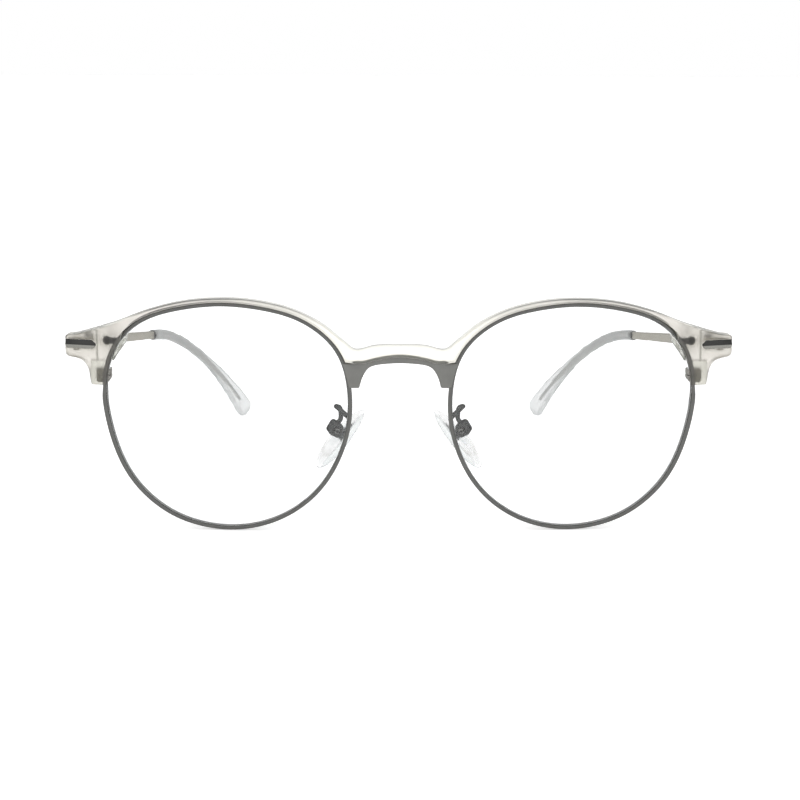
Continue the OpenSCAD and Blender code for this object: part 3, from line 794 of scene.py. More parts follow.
@dataclass(frozen=True)
class Lacquer(Finish):
    """Baked enamel on metal: a dark skin under a smooth, slightly uneven gloss."""

    roughness: tuple[float, float] = (0.22, 0.36)
    grain: Grain = Grain(size_mm=0.6, height_mm=0.002, detail=2.0)
    spread = (0.0, 1.0)

    def values(self, tree: NodeTree, grain: NodeSocket) -> dict[str, object]:
        """A dark skin with the index of enamel under a thin coat."""
        return {"Base Color": mix_colours(tree, grain, self.low, self.high), "IOR": 1.52,
                "Specular IOR Level": 0.3, "Coat Weight": 0.1, "Coat Roughness": 0.12}


@dataclass(frozen=True)
class ClearPlastic(Finish):
    """See-through plastic or silicone: a tint, its gloss, and faint waves from polishing."""

    grain: Grain = Grain(size_mm=2.5, height_mm=0.004, detail=1.0)
    ior: float = 1.48
    transmission: float = 1.0
    # Painted shade at glancing edges, standing in for the darker surroundings that they refract
    deep: str = "c2c8c6"
    deep_power: float = 2.5

    def values(self, tree: NodeTree, grain: NodeSocket) -> dict[str, object]:
        """A tint with painted shade towards the outline, and the light that goes through."""
        tint = mix_colours(tree, grain, self.low, self.high)
        return {"Base Color": deepened(tree, tint, self.deep, self.deep_power),
                "IOR": self.ior, "Transmission Weight": self.transmission}


@dataclass(frozen=True)
class FrostedAcetate(Finish):
    """Cellulose acetate tumbled to a satin skin: milky, see-through, with painted light near the
    nose and greyer at its ends.
    """

    roughness: tuple[float, float] = (0.28, 0.34)
    grain: Grain = Grain(size_mm=0.7, height_mm=0.003, detail=2.0)
    # Painted shade at glancing edges, standing in for the darker surroundings that they refract
    deep_low: str = "e2e1d9"
    deep_high: str = "c0c2b6"
    transmission: float = 0.985
    # Distances from the nose over which the painted light there fades out
    nose_light_reach_mm = (14.0, 42.0)
    cloud = Grain(size_mm=4.0, detail=3.0)

    def values(self, tree: NodeTree, grain: NodeSocket) -> dict[str, object]:
        """A cloudy tint with painted light near the nose that greys away from it, painted edge
        shade, and the light that goes through.
        """
        place = add_node(tree, "TexCoord")
        parts = add_node(tree, "SeparateXYZ", {"Vector": place.outputs["Object"]})
        off = add_node(tree, "Math", {0: parts.outputs["X"]}, operation="ABSOLUTE")
        # Painted light: the tint is paler near the nose, where the light falls, and greys towards
        # the ends
        share = add_node(tree, "MapRange",
                         {"Value": off.outputs["Value"], "From Min": self.nose_light_reach_mm[0] * MM,
                          "From Max": self.nose_light_reach_mm[1] * MM})
        uneven = add_node(tree, "Math",
                          {0: self.cloud.pattern(tree), 1: 0.5, 2: share.outputs["Result"]},
                          operation="MULTIPLY_ADD")
        calm = add_node(tree, "Math", {0: uneven.outputs["Value"], 1: 0.25},
                        operation="SUBTRACT", use_clamp=True).outputs["Value"]
        tint = mix_colours(tree, calm, self.low, self.high)
        deep = mix_colours(tree, calm, self.deep_low, self.deep_high)
        return {"Base Color": deepened(tree, tint, deep, 2.0), "IOR": 1.48,
                "Specular IOR Level": 0.3, "Transmission Weight": self.transmission}


def made(finish: Finish) -> Material:
    """Field whose value is the material of a finish, built when it is first needed."""
    return field(default_factory=finish.make)


@dataclass(frozen=True)
class Finishes:
    """Every finish on the glasses, each made once."""

    # Tumbled acetate scatters what is behind it, so metal under it looks soft and grey
    acetate: Material = made(FrostedAcetate("tumbled_crystal_acetate", "faf8ef", "e3dfd8"))
    # The milled pockets stay as the cutter left them, whiter and duller, and veil the hinge
    milled: Material = made(FrostedAcetate(
        "milled_acetate_pocket", "f6f3ea", "d3d4c8", (0.4, 0.5), deep_low="dddcd4",
        deep_high="b0b2a5", transmission=0.86))
    # Painted shade: the walls of the slot above the lock pocket are darker, a thin greenish line
    # seen from the front
    sawn: Material = made(FrostedAcetate(
        "sawn_acetate_slot", "b9baad", "a2a497", (0.4, 0.5), deep_low="9a9c8f",
        deep_high="85877a", transmission=0.6))
    # The back of each end piece is scraped flat for the hinge and blurs what lies behind it
    scraped: Material = made(FrostedAcetate(
        "scraped_acetate_back", "faf8ef", "eeebe4", (0.6, 0.7), deep_low="e2e1d9",
        deep_high="d2d2c8", transmission=0.97))
    # The lip behind the lens is polished, so it looks clear beside the tumbled front
    polished: Material = made(ClearPlastic(
        "polished_crystal_acetate", "eef0ea", "f6f7f2", (0.16, 0.22), transmission=0.97,
        deep="9aa099", deep_power=1.6))
    # Gunmetal plating is a dark mirror with a fine wire-drawn grain
    gunmetal: Material = made(SatinMetal(
        "gunmetal_plated_wire", "60605e", "6c6c6a", grain=Grain(0.3, 0.003), glancing="8c8c8a"))
    # Painted shade: the groove side of the wire, facing the lens, is darker to stand in for the
    # shade inside the rim; it is also duller
    gunmetal_painted_shade: Material = made(SatinMetal(
        "gunmetal_groove_painted_shade", "393835", "45443f", (0.35, 0.5), Grain(0.3, 0.003)))
    # The stamped bridge takes the same plating over a coarser blasted grain
    bridge: Material = made(SatinMetal(
        "gunmetal_blasted_bridge", "72726f", "80807d", (0.34, 0.48), Grain(0.22, 0.006),
        "8c8c88"))
    # Small solder-dark fittings, nearly black where they turn from the light
    dark_steel: Material = made(SatinMetal(
        "dark_plated_steel", "313231", "404140", glancing="7c7c7a"))
    # The lug is the darkest metal, a soft black spot under the plastic; on each pad screw the
    # same finish is painted shade in the slot and hole and round the head
    lug: Material = made(SatinMetal(
        "blackened_lug_and_painted_recess_shade", "23221e", "302f2a", (0.4, 0.55), glancing="707068"))
    # Plain satin steel of the lock blocks
    grey_steel: Material = made(SatinMetal(
        "satin_steel_block", "8a8782", "9c9994", (0.3, 0.5), Grain(0.45, 0.03)))
    # Stamped nickel silver of the hinge leaves, slightly warm
    nickel: Material = made(SatinMetal("stamped_nickel_silver", "dbd9d2", "e6e4de"))
    # Drawn stainless steel bar, brushed along its length, pale and warm
    drawn_steel: Material = made(SatinMetal(
        "brushed_stainless_bar", "a4a19a", "b3b0a9", (0.3, 0.45),
        Grain(0.2, 0.004, (1.0, 0.04, 1.0)), "c0beb8"))
    # Bright core wire, a grey streak in the hazy plastic
    core: Material = made(SatinMetal(
        "bright_core_wire", "bcbcb9", "cacac7", (0.2, 0.3), glancing="e6e6e4"))
    # Turned stainless screws
    screw: Material = made(SatinMetal(
        "turned_stainless_screw", "8e8e8c", "a2a2a0", (0.18, 0.28)))
    # Painted reflection: the upper facet of each trim is near-black enamel, standing in for the
    # dark it reflects
    trim_painted_reflection: Material = made(Lacquer("trim_upper_facet_painted_reflection", "141412", "22211e"))
    # Bare satin metal on the lower facet of each trim
    trim_steel: Material = made(SatinMetal(
        "satin_trim_steel", "83827d", "93928d", (0.24, 0.36),
        Grain(0.2, stretch=(0.05, 1.0, 1.0))))
    # Black lacquer of the collars
    collar: Material = made(Lacquer("baked_black_collar_lacquer", "2b2b2b", "3a3a39"))
    # Polished resin lens with almost no tint
    lens: Material = made(ClearPlastic(
        "polished_clear_resin_lens", "fbfdfd", "ffffff", (0.0, 0.01), ior=1.5, deep="dde6e4",
        deep_power=4.0))
    # The ground edge of the lens is dull, and its dark colour is painted shade standing in for
    # the groove round it
    lens_edge: Material = made(ClearPlastic(
        "ground_lens_edge_painted_shade", "6a6b69", "787977", (0.45, 0.55), ior=1.5, transmission=0.4,
        deep="565755", deep_power=2.0))
    # Polished cellulose plastic with a cool grey tint
    tip: Material = made(ClearPlastic(
        "polished_grey_tint_acetate", "d8d9d9", "e4e5e5", (0.3, 0.36),
        Grain(3.0, 0.001, detail=1.0), transmission=0.95, deep="b6b9b9", deep_power=2.0))
    # Stiff clear insert inside each pad; its index is the one it has within silicone
    insert: Material = made(ClearPlastic(
        "clear_polycarbonate_insert", "f6f8f8", "fbfcfc", (0.2, 0.3), ior=1.06,
        deep="dde0e0"))
    # Soft clear silicone, a little hazy
    silicone: Material = made(ClearPlastic(
        "moulded_clear_silicone", "eef0f0", "f5f7f7", (0.2, 0.3), ior=1.41,
        transmission=0.95, deep="a6abab", deep_power=1.8))


@dataclass
class Assembly:
    """A sub-assembly of the glasses, dressed in the shared finishes."""

    finishes: Finishes


@dataclass
class BrowBar(Assembly):
    """The one-piece frosted bar over both rims and the bridge, with its end lobes."""

    rounding: float = 0.6
    inner_rounding: float = 0.16
    lip_width: float = 1.3
    lip_ahead: float = 0.97
    seam_angle: float = 147.4
    seam_cover: float = 0.36
    corner_angle: float = 156.0
    pocket_gap: float = 0.08
    slot_x: float = 61.75
    slot_width: float = 0.35
    slot_depth: float = 2.3
    overlap: float = 1.0
    outer_wall: float = 1.9
    foot_rounding: float = 0.3
    rim_cover: float = 0.95

    # Height of the bar above the rim at a few angles round the lens
    rise = ((147.4, 1.66), (135.8, 1.12), (121.5, 0.9), (105.2, 0.86), (88.6, 0.7),
            (69.8, 0.8), (52.0, 0.95))

    def depths(self, x: float) -> tuple[float, float]:
        """Front and back depth of the bar at a distance from the nose."""
        middle = PLAN.mid_y(x)
        seat_from, curve_to = PLAN.end_x - 6.4, PLAN.end_x - 13.0
        if abs(x) <= curve_to:
            back = middle + PLAN.brow_behind
        else:
            start = PLAN.mid_y(curve_to) + PLAN.brow_behind
            share = (abs(x) - curve_to) / (seat_from - curve_to)
            back = blend(start, PLAN.end_back, ease(share) if share < 1 else 1.0)
        return middle - PLAN.brow_ahead, back

    def outer_line(self) -> list[tuple[list[Vector], int]]:
        """Spans of the outer edge from the nose to the foot of the lobe, with their counts."""
        top, end, hinge = PLAN.bridge_top, PLAN.end_x, PLAN.hinge_z
        knots = ([(-5.0, top + 1.85), (0.0, top + 2.0), (LENS.nose_half - 5.92, top + 1.85),
                  (LENS.nose_half - 1.9, top + 1.05)]
                 + [LENS.flat(angle, LENS.rim_width + rise) for angle, rise in self.rise]
                 + [(end - 8.8, hinge + 4.25), (end - 2.8, hinge + 2.43),
                    (end - 1.0, hinge + 2.2), (end - 0.25, hinge + 2.0), (end, hinge + 1.6)])
        steps = 12
        line = curve(knots, steps)

        def span(first: int, last: int) -> list[Vector]:
            """Stretch of the line between two of its knots."""
            return line[first * steps:last * steps + 1]

        lobe = curve([(end, hinge + 1.6), (end, hinge - 1.4), (end - 0.3, hinge - 2.12),
                      (end - 1.0, hinge - 2.42), (end - 2.3, hinge - 2.6),
                      (end - 3.75, hinge - 3.2), (end - 4.65, hinge - 4.4),
                      (end - 5.0, PLAN.lobe_z + 2.4), (end - 5.25, PLAN.lobe_z + 0.7),
                      (end - 5.45, PLAN.lobe_z)], steps)
        early = line[3 * steps:3 * steps + 5]
        return [(span(1, 3), 16), (early, 6), (line[3 * steps + 4:4 * steps + 1], 8),
                (span(4, 10), 72), (span(10, 11), 12),
                (span(11, 12), 10), (span(12, 15), 10), (lobe[:steps + 1], 8),
                (lobe[steps:5 * steps + 1], 14), (lobe[5 * steps:7 * steps + 1], 12),
                (lobe[7 * steps:], 10)]

    def inner_line(self) -> list[list[tuple[Vector, float]]]:
        """Spans of the inner edge as places, each with its angle on the rim, 180 at the nose."""
        top, nose = PLAN.bridge_top - self.seam_cover, LENS.nose_half
        seam = PLAN.bridge_line(top, [(nose - 1.6, top - 1.3)], 12)
        lobe_angle = math.degrees(math.asin((PLAN.lobe_z - LENS.z) / LENS.edge(12)))
        corner = LENS.flat(self.corner_angle, self.rim_cover)
        stops = (self.seam_angle, 52.0, 41.0, 35.5, 32.0, 28.0, 20.5, 15.0, lobe_angle)
        spans = [[(p, 180.0) for p in seam], [(seam[-1], 180.0), (corner, 170.0)]]
        turns = [blend(self.corner_angle, self.seam_angle, k / 8) for k in range(9)]
        spans.append([(LENS.flat(a, self.rim_cover), a) for a in turns])
        for start, stop in zip(stops, stops[1:]):
            angles = [blend(start, stop, k / 40) for k in range(41)]
            spans.append([(LENS.flat(a, self.cover_at(a)), a) for a in angles])
        return spans

    def cover_at(self, angle: float) -> float:
        """How far outside the lens edge the bar's front starts at an angle on the rim."""
        return blend(0.02, self.rim_cover, ease((angle - 32.5) / 6.0))

    def lip_at(self, angle: float) -> float:
        """How far the lip behind the lens reaches past the edge of the lens."""
        return self.lip_width * ease((angle - 17) / 14) * (1 - ease((angle - 37) / 9))

    def ring(self, inner: Vector, outer: Vector, angle: float) -> Ring:
        """Section of the bar between two places seen from the front.

        Args:
            inner: The place at the rim, as [x, z].
            outer: The place on the outer edge.
            angle: Angle on the rim.

        Returns:
            The ring of points round the section.
        """
        reach = (outer - inner).length
        way = (outer - inner) / reach
        lip = self.lip_at(angle) if angle < 90 else 0.0
        big = min(self.rounding, reach * 0.4)
        small = self.inner_rounding

        def at(face: int, w: float, inwards: float = 0.0) -> Vector:
            """Point of the section.

            Args:
                face: The front face, 0, or the back face, 1.
                w: Distance from the inner place towards the outer one.
                inwards: Depth under that face.

            Returns:
                The point.
            """
            spot = inner + way * w
            y = self.depths(spot.x)[face]
            return Vector((spot.x, y - inwards if face else y + inwards, spot.y))

        front, back = 0, 1
        rounds, flats = (22, 45, 68), [k / 8 for k in range(9)]
        made = [at(front, small * (1 - cosd(a)), small * (1 - sind(a))) for a in (0, 30, 60)]
        made += [at(front, blend(small, reach - big, u)) for u in flats]
        made += [at(front, reach - big * (1 - sind(a)), big * (1 - cosd(a))) for a in rounds]
        made += [at(front, reach, big), at(front, reach, (big + self.outer_wall) / 2),
                 at(back, reach, big)]
        made += [at(back, reach - big * (1 - cosd(a)), big * (1 - sind(a))) for a in rounds]
        made += [at(back, blend(reach - big, small - lip, u)) for u in flats]
        made += [at(back, small * (1 - sind(a)) - lip, small * (1 - cosd(a))) for a in (45, 90)]
        step = PLAN.brow_ahead + self.lip_ahead
        edge, step_inside = at(front, 0.0, step), at(front, -lip, step)
        return made + [step_inside.lerp(made[-1], 0.08), edge.lerp(step_inside, 0.95),
                       edge.lerp(step_inside, 0.05) + Vector((0, -0.02, 0))]

    def half(self) -> BMesh:
        """Left half of the bar, closed, reaching a little past the nose's middle."""
        stations: list[tuple[Vector, Vector, float]] = []
        for (outer, count), inner in zip(self.outer_line(), self.inner_line()):
            outside = evenly(outer, count)
            places = evenly([place for place, _ in inner], count)
            first, last = inner[0][1], inner[-1][1]
            for k in range(1 if stations else 0, count + 1):
                stations.append((places[k], outside[k], blend(first, last, k / count)))
        start = stations[0]
        lead = Vector((-self.overlap, 0.0))
        stations.insert(0, (start[0] + lead, start[1] + lead, start[2]))
        bm = swept([self.ring(*station) for station in stations])
        foot = PLAN.lobe_z + 0.05
        round_edges(bm, self.foot_rounding, 3, 50.0,
                    lambda e: all(v.co.z < foot and v.co.x > LENS.x for v in e.verts))
        return bm

    def build(self) -> None:
        """Carves the pockets into the left half, mirrors it and dresses the bar."""
        slot = block((self.slot_x, PLAN.end_back - self.slot_depth, RimLock.pocket_top() - 0.2),
                     (self.slot_x + self.slot_width, PLAN.cut_back, PLAN.hinge_z + 5))
        gap, f = self.pocket_gap, self.finishes
        half = carve(self.half(), [RimLock.pocket(gap), BrowLug.pocket(gap), Hinge.pocket(gap),
                                   Trim.pocket(gap / 2), slot])
        self.mark_faces(half)
        add_piece(None, "brow_bar_moulding", mirrored(half),
                  [f.acetate, f.milled, f.polished, f.sawn, f.scraped], "brow_bar",
                  40.0)

    def mark_faces(self, half: BMesh) -> None:
        """Gives the pocket's floor, the lip and the scraped back their own finish, and the slot
        painted shade.
        """
        floor, top = RimLock.centre().y - RimLock.pocket_depth, RimLock.pocket_top()
        for face in half.faces:
            spot, normal = face.calc_center_median(), face.normal
            angle, past = LENS.beside(spot)
            # Painted shade: the walls of the slot get the darker slot finish
            if (self.slot_x - NEAR < spot.x < self.slot_x + self.slot_width + NEAR
                    and spot.y > PLAN.end_back - self.slot_depth - NEAR and spot.z > top - 0.3):
                face.material_index = 3
            elif past < -NEAR and 0 < angle < 60:
                face.material_index = 2
            elif (spot.x > self.slot_x and normal.y > 0.7 and spot.z > PLAN.hinge_z - 3
                    and spot.y > PLAN.end_back - PLAN.leaf_thickness - 0.1):
                face.material_index = 4
            else:
                face.material_index = int(spot.x < PLAN.end_x - 3 and spot.z < top
                                          and abs(spot.y - floor) < 0.05 and normal.y > 0.9)


@dataclass
class Bridge(Assembly):
    """Stamped metal band under the plastic, with a gusset foot beside each rim."""

    depth: float = 2.2
    thickness: float = 1.7
    drop: float = 6.8
    rounding: float = 0.42

    def ring(self, upper: Vector, lower: Vector) -> Ring:
        """Section of the band between its upper and its lower edge."""
        front = LENS.point(155).y - self.depth / 2
        back = front + self.depth
        way = (lower - upper).normalized()
        reach = (lower - upper).length
        r = min(self.rounding, reach * 0.3)
        made = []
        for w, y, turn in ((r, front + r, 180), (reach - r, front + r, 270),
                           (reach - r, back - r, 0), (r, back - r, 90)):
            for step in (0, 30, 60, 90):
                spot = upper + way * (w + r * cosd(turn + step))
                made.append(Vector((spot.x, y + r * sind(turn + step), spot.y)))
        return made

    def build(self) -> None:
        """Draws one half from the nose to the foot, mirrors it and dresses the band."""
        top, nose = PLAN.bridge_top, LENS.nose_half
        under, foot = top - self.thickness, top - self.drop
        over = PLAN.bridge_line(top, [(nose - 1.7, top - 1.3), (nose - 0.75, top - 1.7)], 10)
        inside = [LENS.flat(angle, 0.1) for angle in (156, 158, 160, 162, 164, 166)]
        upper = evenly(over + inside + [Vector((nose - 0.12, foot))], 44)
        lower = evenly(curve([(-2.7, under - 0.12), (0, under), (nose - 8.22, under - 0.12),
                              (nose - 5.9, under - 0.42), (nose - 4.5, under - 1.0),
                              (nose - 3.6, under - 2.15), (nose - 3.0, foot + 1.6),
                              (nose - 2.57, foot)], 10)[10:], 44)
        lead = Vector((-1.0, 0.0))
        bm = swept([self.ring(upper[0] + lead, lower[0] + lead),
                    *[self.ring(a, b) for a, b in zip(upper, lower)]])
        round_edges(bm, 0.4, 4, 50.0, lambda e: all(v.co.z < foot + 0.05 for v in e.verts))
        add_piece(None, "bridge_band", mirrored(bm), [self.finishes.bridge], "bridge",
                  45.0)


@dataclass
class Rim(Assembly):
    """Open ring of grooved wire, split beside its lock."""

    groove: float = 0.4
    split: float = 0.25
    corner: float = 0.28
    inner_corner: float = 0.12
    inner_flat: float = 0.04
    lobe_thin: float = 0.3
    stations: int = 180

    @staticmethod
    def lock_angle() -> float:
        """Angle of the split on the rim."""
        return math.degrees(math.asin((RimLock.cut_z() - LENS.z)
                                      / (LENS.edge(16) + LENS.rim_width / 2)))

    def section(self, angle: float) -> list[tuple[float, float]]:
        """Section of the wire at an angle as [out, ahead] points."""
        half, width, r = LENS.rim_depth / 2, LENS.wire(angle), self.corner
        half *= 1 - self.lobe_thin * LENS.in_lobe(angle)
        groove, c, flat = self.groove * 1.1, self.inner_corner, self.inner_flat
        made = [(0.0, c - half), (0.0, -groove), (self.groove, 0.0), (0.0, groove),
                (0.0, half - c), (flat, half - flat), (c, half)]
        made += [(width - r + r * sind(a), half - r + r * cosd(a)) for a in (0, 30, 60, 90)]
        made += [(width - r + r * cosd(a), r - half - r * sind(a)) for a in (0, 30, 60, 90)]
        return made + [(c, -half), (flat, flat - half)]

    def build(self, side: Side) -> None:
        """Sweeps the wire round the lens and dresses it, with painted shade on the side of the
        groove.
        """
        gap = self.split / LENS.radius * 90 / math.pi
        start = self.lock_angle() + gap
        turns = [start + (360 - 2 * gap) * i / self.stations for i in range(self.stations + 1)]
        bm = swept([[LENS.place(t, out, ahead) for out, ahead in self.section(t)]
                    for t in turns])
        # Painted shade: faces that turn towards the middle of the lens get the darker finish
        for face in bm.faces:
            middle = face.calc_center_median()
            inward = Vector((LENS.x, middle.y, LENS.z)) - middle
            face.material_index = int(face.normal.dot(inward.normalized()) > 0.45)
        add_piece(side, "rim_wire", bm, [self.finishes.gunmetal, self.finishes.gunmetal_painted_shade],
                  "rim", 40.0)


@dataclass
class Lens(Assembly):
    """Clear lens with a bevelled edge that sits in the groove of its rim."""

    bevel: float = 0.35
    gap: float = 0.04
    stations: int = 120

    def build(self, side: Side) -> None:
        """Draws both faces and the bevelled edge as rings and dresses the lens, with painted
        shade on its edge.
        """
        ball, half = LENS.ball, LENS.thickness / 2
        turns = [360 * i / self.stations for i in range(self.stations)]

        def face(share: float, ahead: float) -> Ring:
            """Ring on a face of the lens.

            Args:
                share: Its reach as a share of the way from the middle to the edge.
                ahead: Distance of that face from the middle of the thickness.

            Returns:
                The ring of points.
            """
            made = []
            for t in turns:
                reach = share * (LENS.edge(t) - self.gap)
                x, z = LENS.x + reach * cosd(t), LENS.z + reach * sind(t)
                here = Vector((x, LENS.face_y(x, z), z))
                made.append(here + ahead * (here - ball).normalized())
            return made

        def edge(out: float, ahead: float) -> Ring:
            """Ring along the edge of the lens, some way out and ahead of it."""
            return [LENS.place(t, out, ahead) for t in turns]

        shares = (0.02, 0.12, 0.25, 0.4, 0.55, 0.7, 0.82, 0.91, 0.97)
        rings = [face(share, half) for share in shares]
        rings += [edge(-self.gap, half), edge(-self.gap, self.bevel * 1.1),
                  edge(self.bevel - self.gap, 0.0), edge(-self.gap, -self.bevel * 1.1),
                  edge(-self.gap, -half)]
        rings += [face(share, -half) for share in reversed(shares)]
        bm = swept(rings)
        # Painted shade: faces at the edge of the lens get the dark edge finish
        for poly in bm.faces:
            past = LENS.beside(poly.calc_center_median())[1]
            poly.material_index = int(past > -self.gap - 0.06)
        add_piece(side, "lens_blank", bm, [self.finishes.lens, self.finishes.lens_edge], "lens",
                  12.0)


@dataclass
class RimLock(Assembly):
    """The two blocks that close a rim with a small screw, seen through the lobe."""

    up = 0.45
    outside = 0.62
    width = 2.9
    height = 2.9
    depth = 2.4
    gap = 0.14
    screw_radius = 0.45
    pocket_past = 1.1
    pocket_above = 1.5
    pocket_depth = 0.95
    bore_gap = 0.03
    head_gap = 0.43
    rounding = 0.14
    # Radius of the lower left, lower right, upper right and upper left corner of each block
    upper_corners = (0.05, 0.05, 0.35, 0.3)
    lower_corners = (0.95, 0.45, 0.05, 0.05)

    @classmethod
    def cut_z(cls) -> float:
        """Height at which the two blocks meet."""
        return PLAN.lobe_z + cls.up + cls.height / 2

    @classmethod
    def pocket_top(cls) -> float:
        """Height of the top of the room for the blocks."""
        return cls.cut_z() + cls.height / 2 + cls.pocket_above

    @classmethod
    def centre(cls) -> Vector:
        """Middle of the blocks across, the back of the rim there, and their meeting height."""
        rim = LENS.behind(Rim.lock_angle())
        return Vector((rim.x + cls.outside, rim.y, cls.cut_z()))

    @classmethod
    def pocket(cls, gap: float) -> BMesh:
        """The room that the blocks need in the lobe."""
        middle, half = cls.centre(), cls.width / 2 + gap
        return block((middle.x - half - 1.3, middle.y - cls.pocket_depth,
                      middle.z - cls.height / 2 - gap - 2),
                     (middle.x + half + cls.pocket_past, PLAN.cut_back, cls.pocket_top()))

    def block(self, lower: bool) -> BMesh:
        """One block, its outer corners rounded, with the bore for the screw."""
        middle = self.centre()
        low = middle.z - self.height / 2 if lower else middle.z + self.gap / 2
        high = middle.z - self.gap / 2 if lower else middle.z + self.height / 2 - 0.2
        corners = self.lower_corners if lower else self.upper_corners
        front, back = middle.y - 0.9, middle.y + self.depth
        bm = upright(rounded_outline((middle.x - self.width / 2, low),
                                     (middle.x + self.width / 2, high), corners), front, back)
        round_edges(bm, self.rounding, 3, 60.0)
        y, r = back - self.depth / 2 + 0.1, self.screw_radius
        cuts = [rod((middle.x, y, low - 1), (middle.x, y, high + 1), r + self.bore_gap)]
        if lower:
            cuts.append(rod((middle.x, y, low - 1), (middle.x, y, low + 0.5),
                            r + self.head_gap))
        return carve(bm, cuts)

    def build(self, side: Side) -> None:
        """Dresses the blocks and their screw, which is shortened to fit them."""
        for part in ("upper", "lower"):
            add_piece(side, f"rim_lock_{part}_block", self.block(part == "lower"),
                      [self.finishes.grey_steel], f"rim_lock_{part}")
        screw = softened(f"{side.label}_rim_lock_screw", 0.08)
        heights = [vert.co.z for vert in screw.verts]
        old, middle = (min(heights) + max(heights)) / 2, self.cut_z() * MM
        share = (self.height - 0.7) * MM / (max(heights) - min(heights))
        for vert in screw.verts:
            vert.co.z = middle + (vert.co.z - old) * share
        add_piece(side, "rim_lock_screw_turned", screw, [self.finishes.screw], "rim_lock_screw",
                  drawn=False)


@dataclass
class BrowLug(Assembly):
    """Eye brazed to a rim and the screw that holds the brow bar to it."""

    inward = 9.0
    up = 1.1
    eye_radius = 1.1
    root_angle = 33.0
    shrink = 0.8

    @classmethod
    def pocket(cls, gap: float) -> BMesh:
        """The room that the lug needs in the back of the brow bar."""
        x, z = PLAN.end_x - cls.inward, PLAN.hinge_z + cls.up
        root = LENS.flat(cls.root_angle, LENS.rim_width / 2)
        r = cls.eye_radius * cls.shrink + gap
        outline = [(x + r * cosd(a), z + r * sind(a)) for a in range(-96, 107, 11)]
        outline += [(root.x - 0.4 - gap, root.y + up + way * gap)
                    for up, way in ((0.6, 1), (-0.7, -1))]
        front = LENS.behind(cls.root_angle).y - 0.5 - gap
        return upright(outline, front, PLAN.cut_back)

    def build(self, side: Side) -> None:
        """Dresses the lug and its screw."""
        eye_x = side.value * (PLAN.end_x - self.inward) * MM
        eye_z, reach = (PLAN.hinge_z + self.up) * MM, (self.eye_radius + 0.05) * MM
        for part, width in (("brow_lug", 0.12), ("brow_screw", 0.1)):
            bm = softened(f"{side.label}_{part}", width)
            for vert in bm.verts:
                if abs(vert.co.x - eye_x) < reach:
                    vert.co.x = blend(eye_x, vert.co.x, self.shrink)
                vert.co.z = blend(eye_z, vert.co.z, self.shrink)
            add_piece(side, f"{part}_plated", bm, [self.finishes.lug], part,
                      drawn=False)


@dataclass
class Trim(Assembly):
    """Faceted bar let into an end piece: bare metal, with a painted reflection in black above its
    ridge.
    """

    length = 6.75
    height = 1.8
    above = 0.32
    inset = 0.6
    ridge_out = 0.35
    ridge_z = -0.18
    rivet_radius = 0.5
    rivets = (1.4, 3.3)
    corner = 0.45
    rounding = 0.07

    @classmethod
    def outline(cls, grow: float) -> list[tuple[float, float]]:
        """Outline seen from the front, pointed towards the nose, as [x, z] points."""
        length, half, r = cls.length / 2 + grow, cls.height / 2 + grow, cls.corner
        bulge = [(length - r + r * sind(a), -half + r - r * cosd(a))
                 for a in (90, 60, 30, 0)]
        return ([(length, half)] + bulge
                + [(0.85 - length, -half), (0.45 - length, -half + 0.14), (0.16 - length, -0.42),
                   (0.03 - length, -0.12), (-length, 0.08), (0.12 - length, 0.24),
                   (0.5 - length, 0.56), (0.82 - length, half - 0.06), (1.05 - length, half)])

    @staticmethod
    def seated(bm: BMesh) -> BMesh:
        """A bar drawn at the origin, moved onto the end piece."""
        turn = math.atan((PLAN.mid_points()[-1].y - PLAN.mid_y(PLAN.end_x - Trim.length))
                         / Trim.length)
        x = PLAN.end_x - Trim.length / 2
        place = (x, PLAN.mid_y(x) - PLAN.brow_ahead, PLAN.hinge_z + Trim.above)
        return moved(bm, Matrix.Translation(place) @ Matrix.Rotation(turn, 4, "Z"))

    @classmethod
    def pocket(cls, grow: float) -> BMesh:
        """The recess for the bar in the end piece."""
        return cls.seated(upright(cls.outline(grow), -1.0, cls.inset + grow))

    def build(self, side: Side) -> None:
        """Raises the ridge of the bar, rounds its edges, adds the rivets and dresses it."""
        bm = upright(self.outline(0.0), 0.0, self.inset)
        bmesh.ops.bisect_plane(bm, geom=bm.verts[:] + bm.edges[:] + bm.faces[:],
                               plane_co=(0, 0, self.ridge_z), plane_no=(0, 0, 1))
        for vert in bm.verts:
            if abs(vert.co.y) < 1e-4 and abs(vert.co.z - self.ridge_z) < 1e-4:
                vert.co.y -= self.ridge_out
        # Painted reflection: faces above the ridge get the near-black finish, standing in for the
        # dark that the upper facet reflects
        for face in bm.faces:
            above = face.calc_center_median().z > self.ridge_z
            face.material_index = 0 if above and face.normal.y < 0.3 else 1
        round_edges(bm, self.rounding, 2, 12.0)
        self.seated(bm)
        for offset in self.rivets:
            x = PLAN.end_x - PLAN.pin_in + offset
            front = PLAN.mid_y(x) - PLAN.brow_ahead + self.inset / 2
            made = bmesh.ops.create_cone(
                bm, cap_ends=True, segments=20, radius1=self.rivet_radius,
                radius2=self.rivet_radius, depth=PLAN.end_back - front,
                matrix=Matrix.Translation((x, (PLAN.end_back + front) / 2, PLAN.hinge_z))
                @ Matrix.Rotation(math.pi / 2, 4, "X"))
            for vert in made["verts"]:
                for face in vert.link_faces:
                    face.material_index = 1
        add_piece(side, "trim_bar", bm, [self.finishes.trim_painted_reflection, self.finishes.trim_steel],
                  "trim", 28.0)


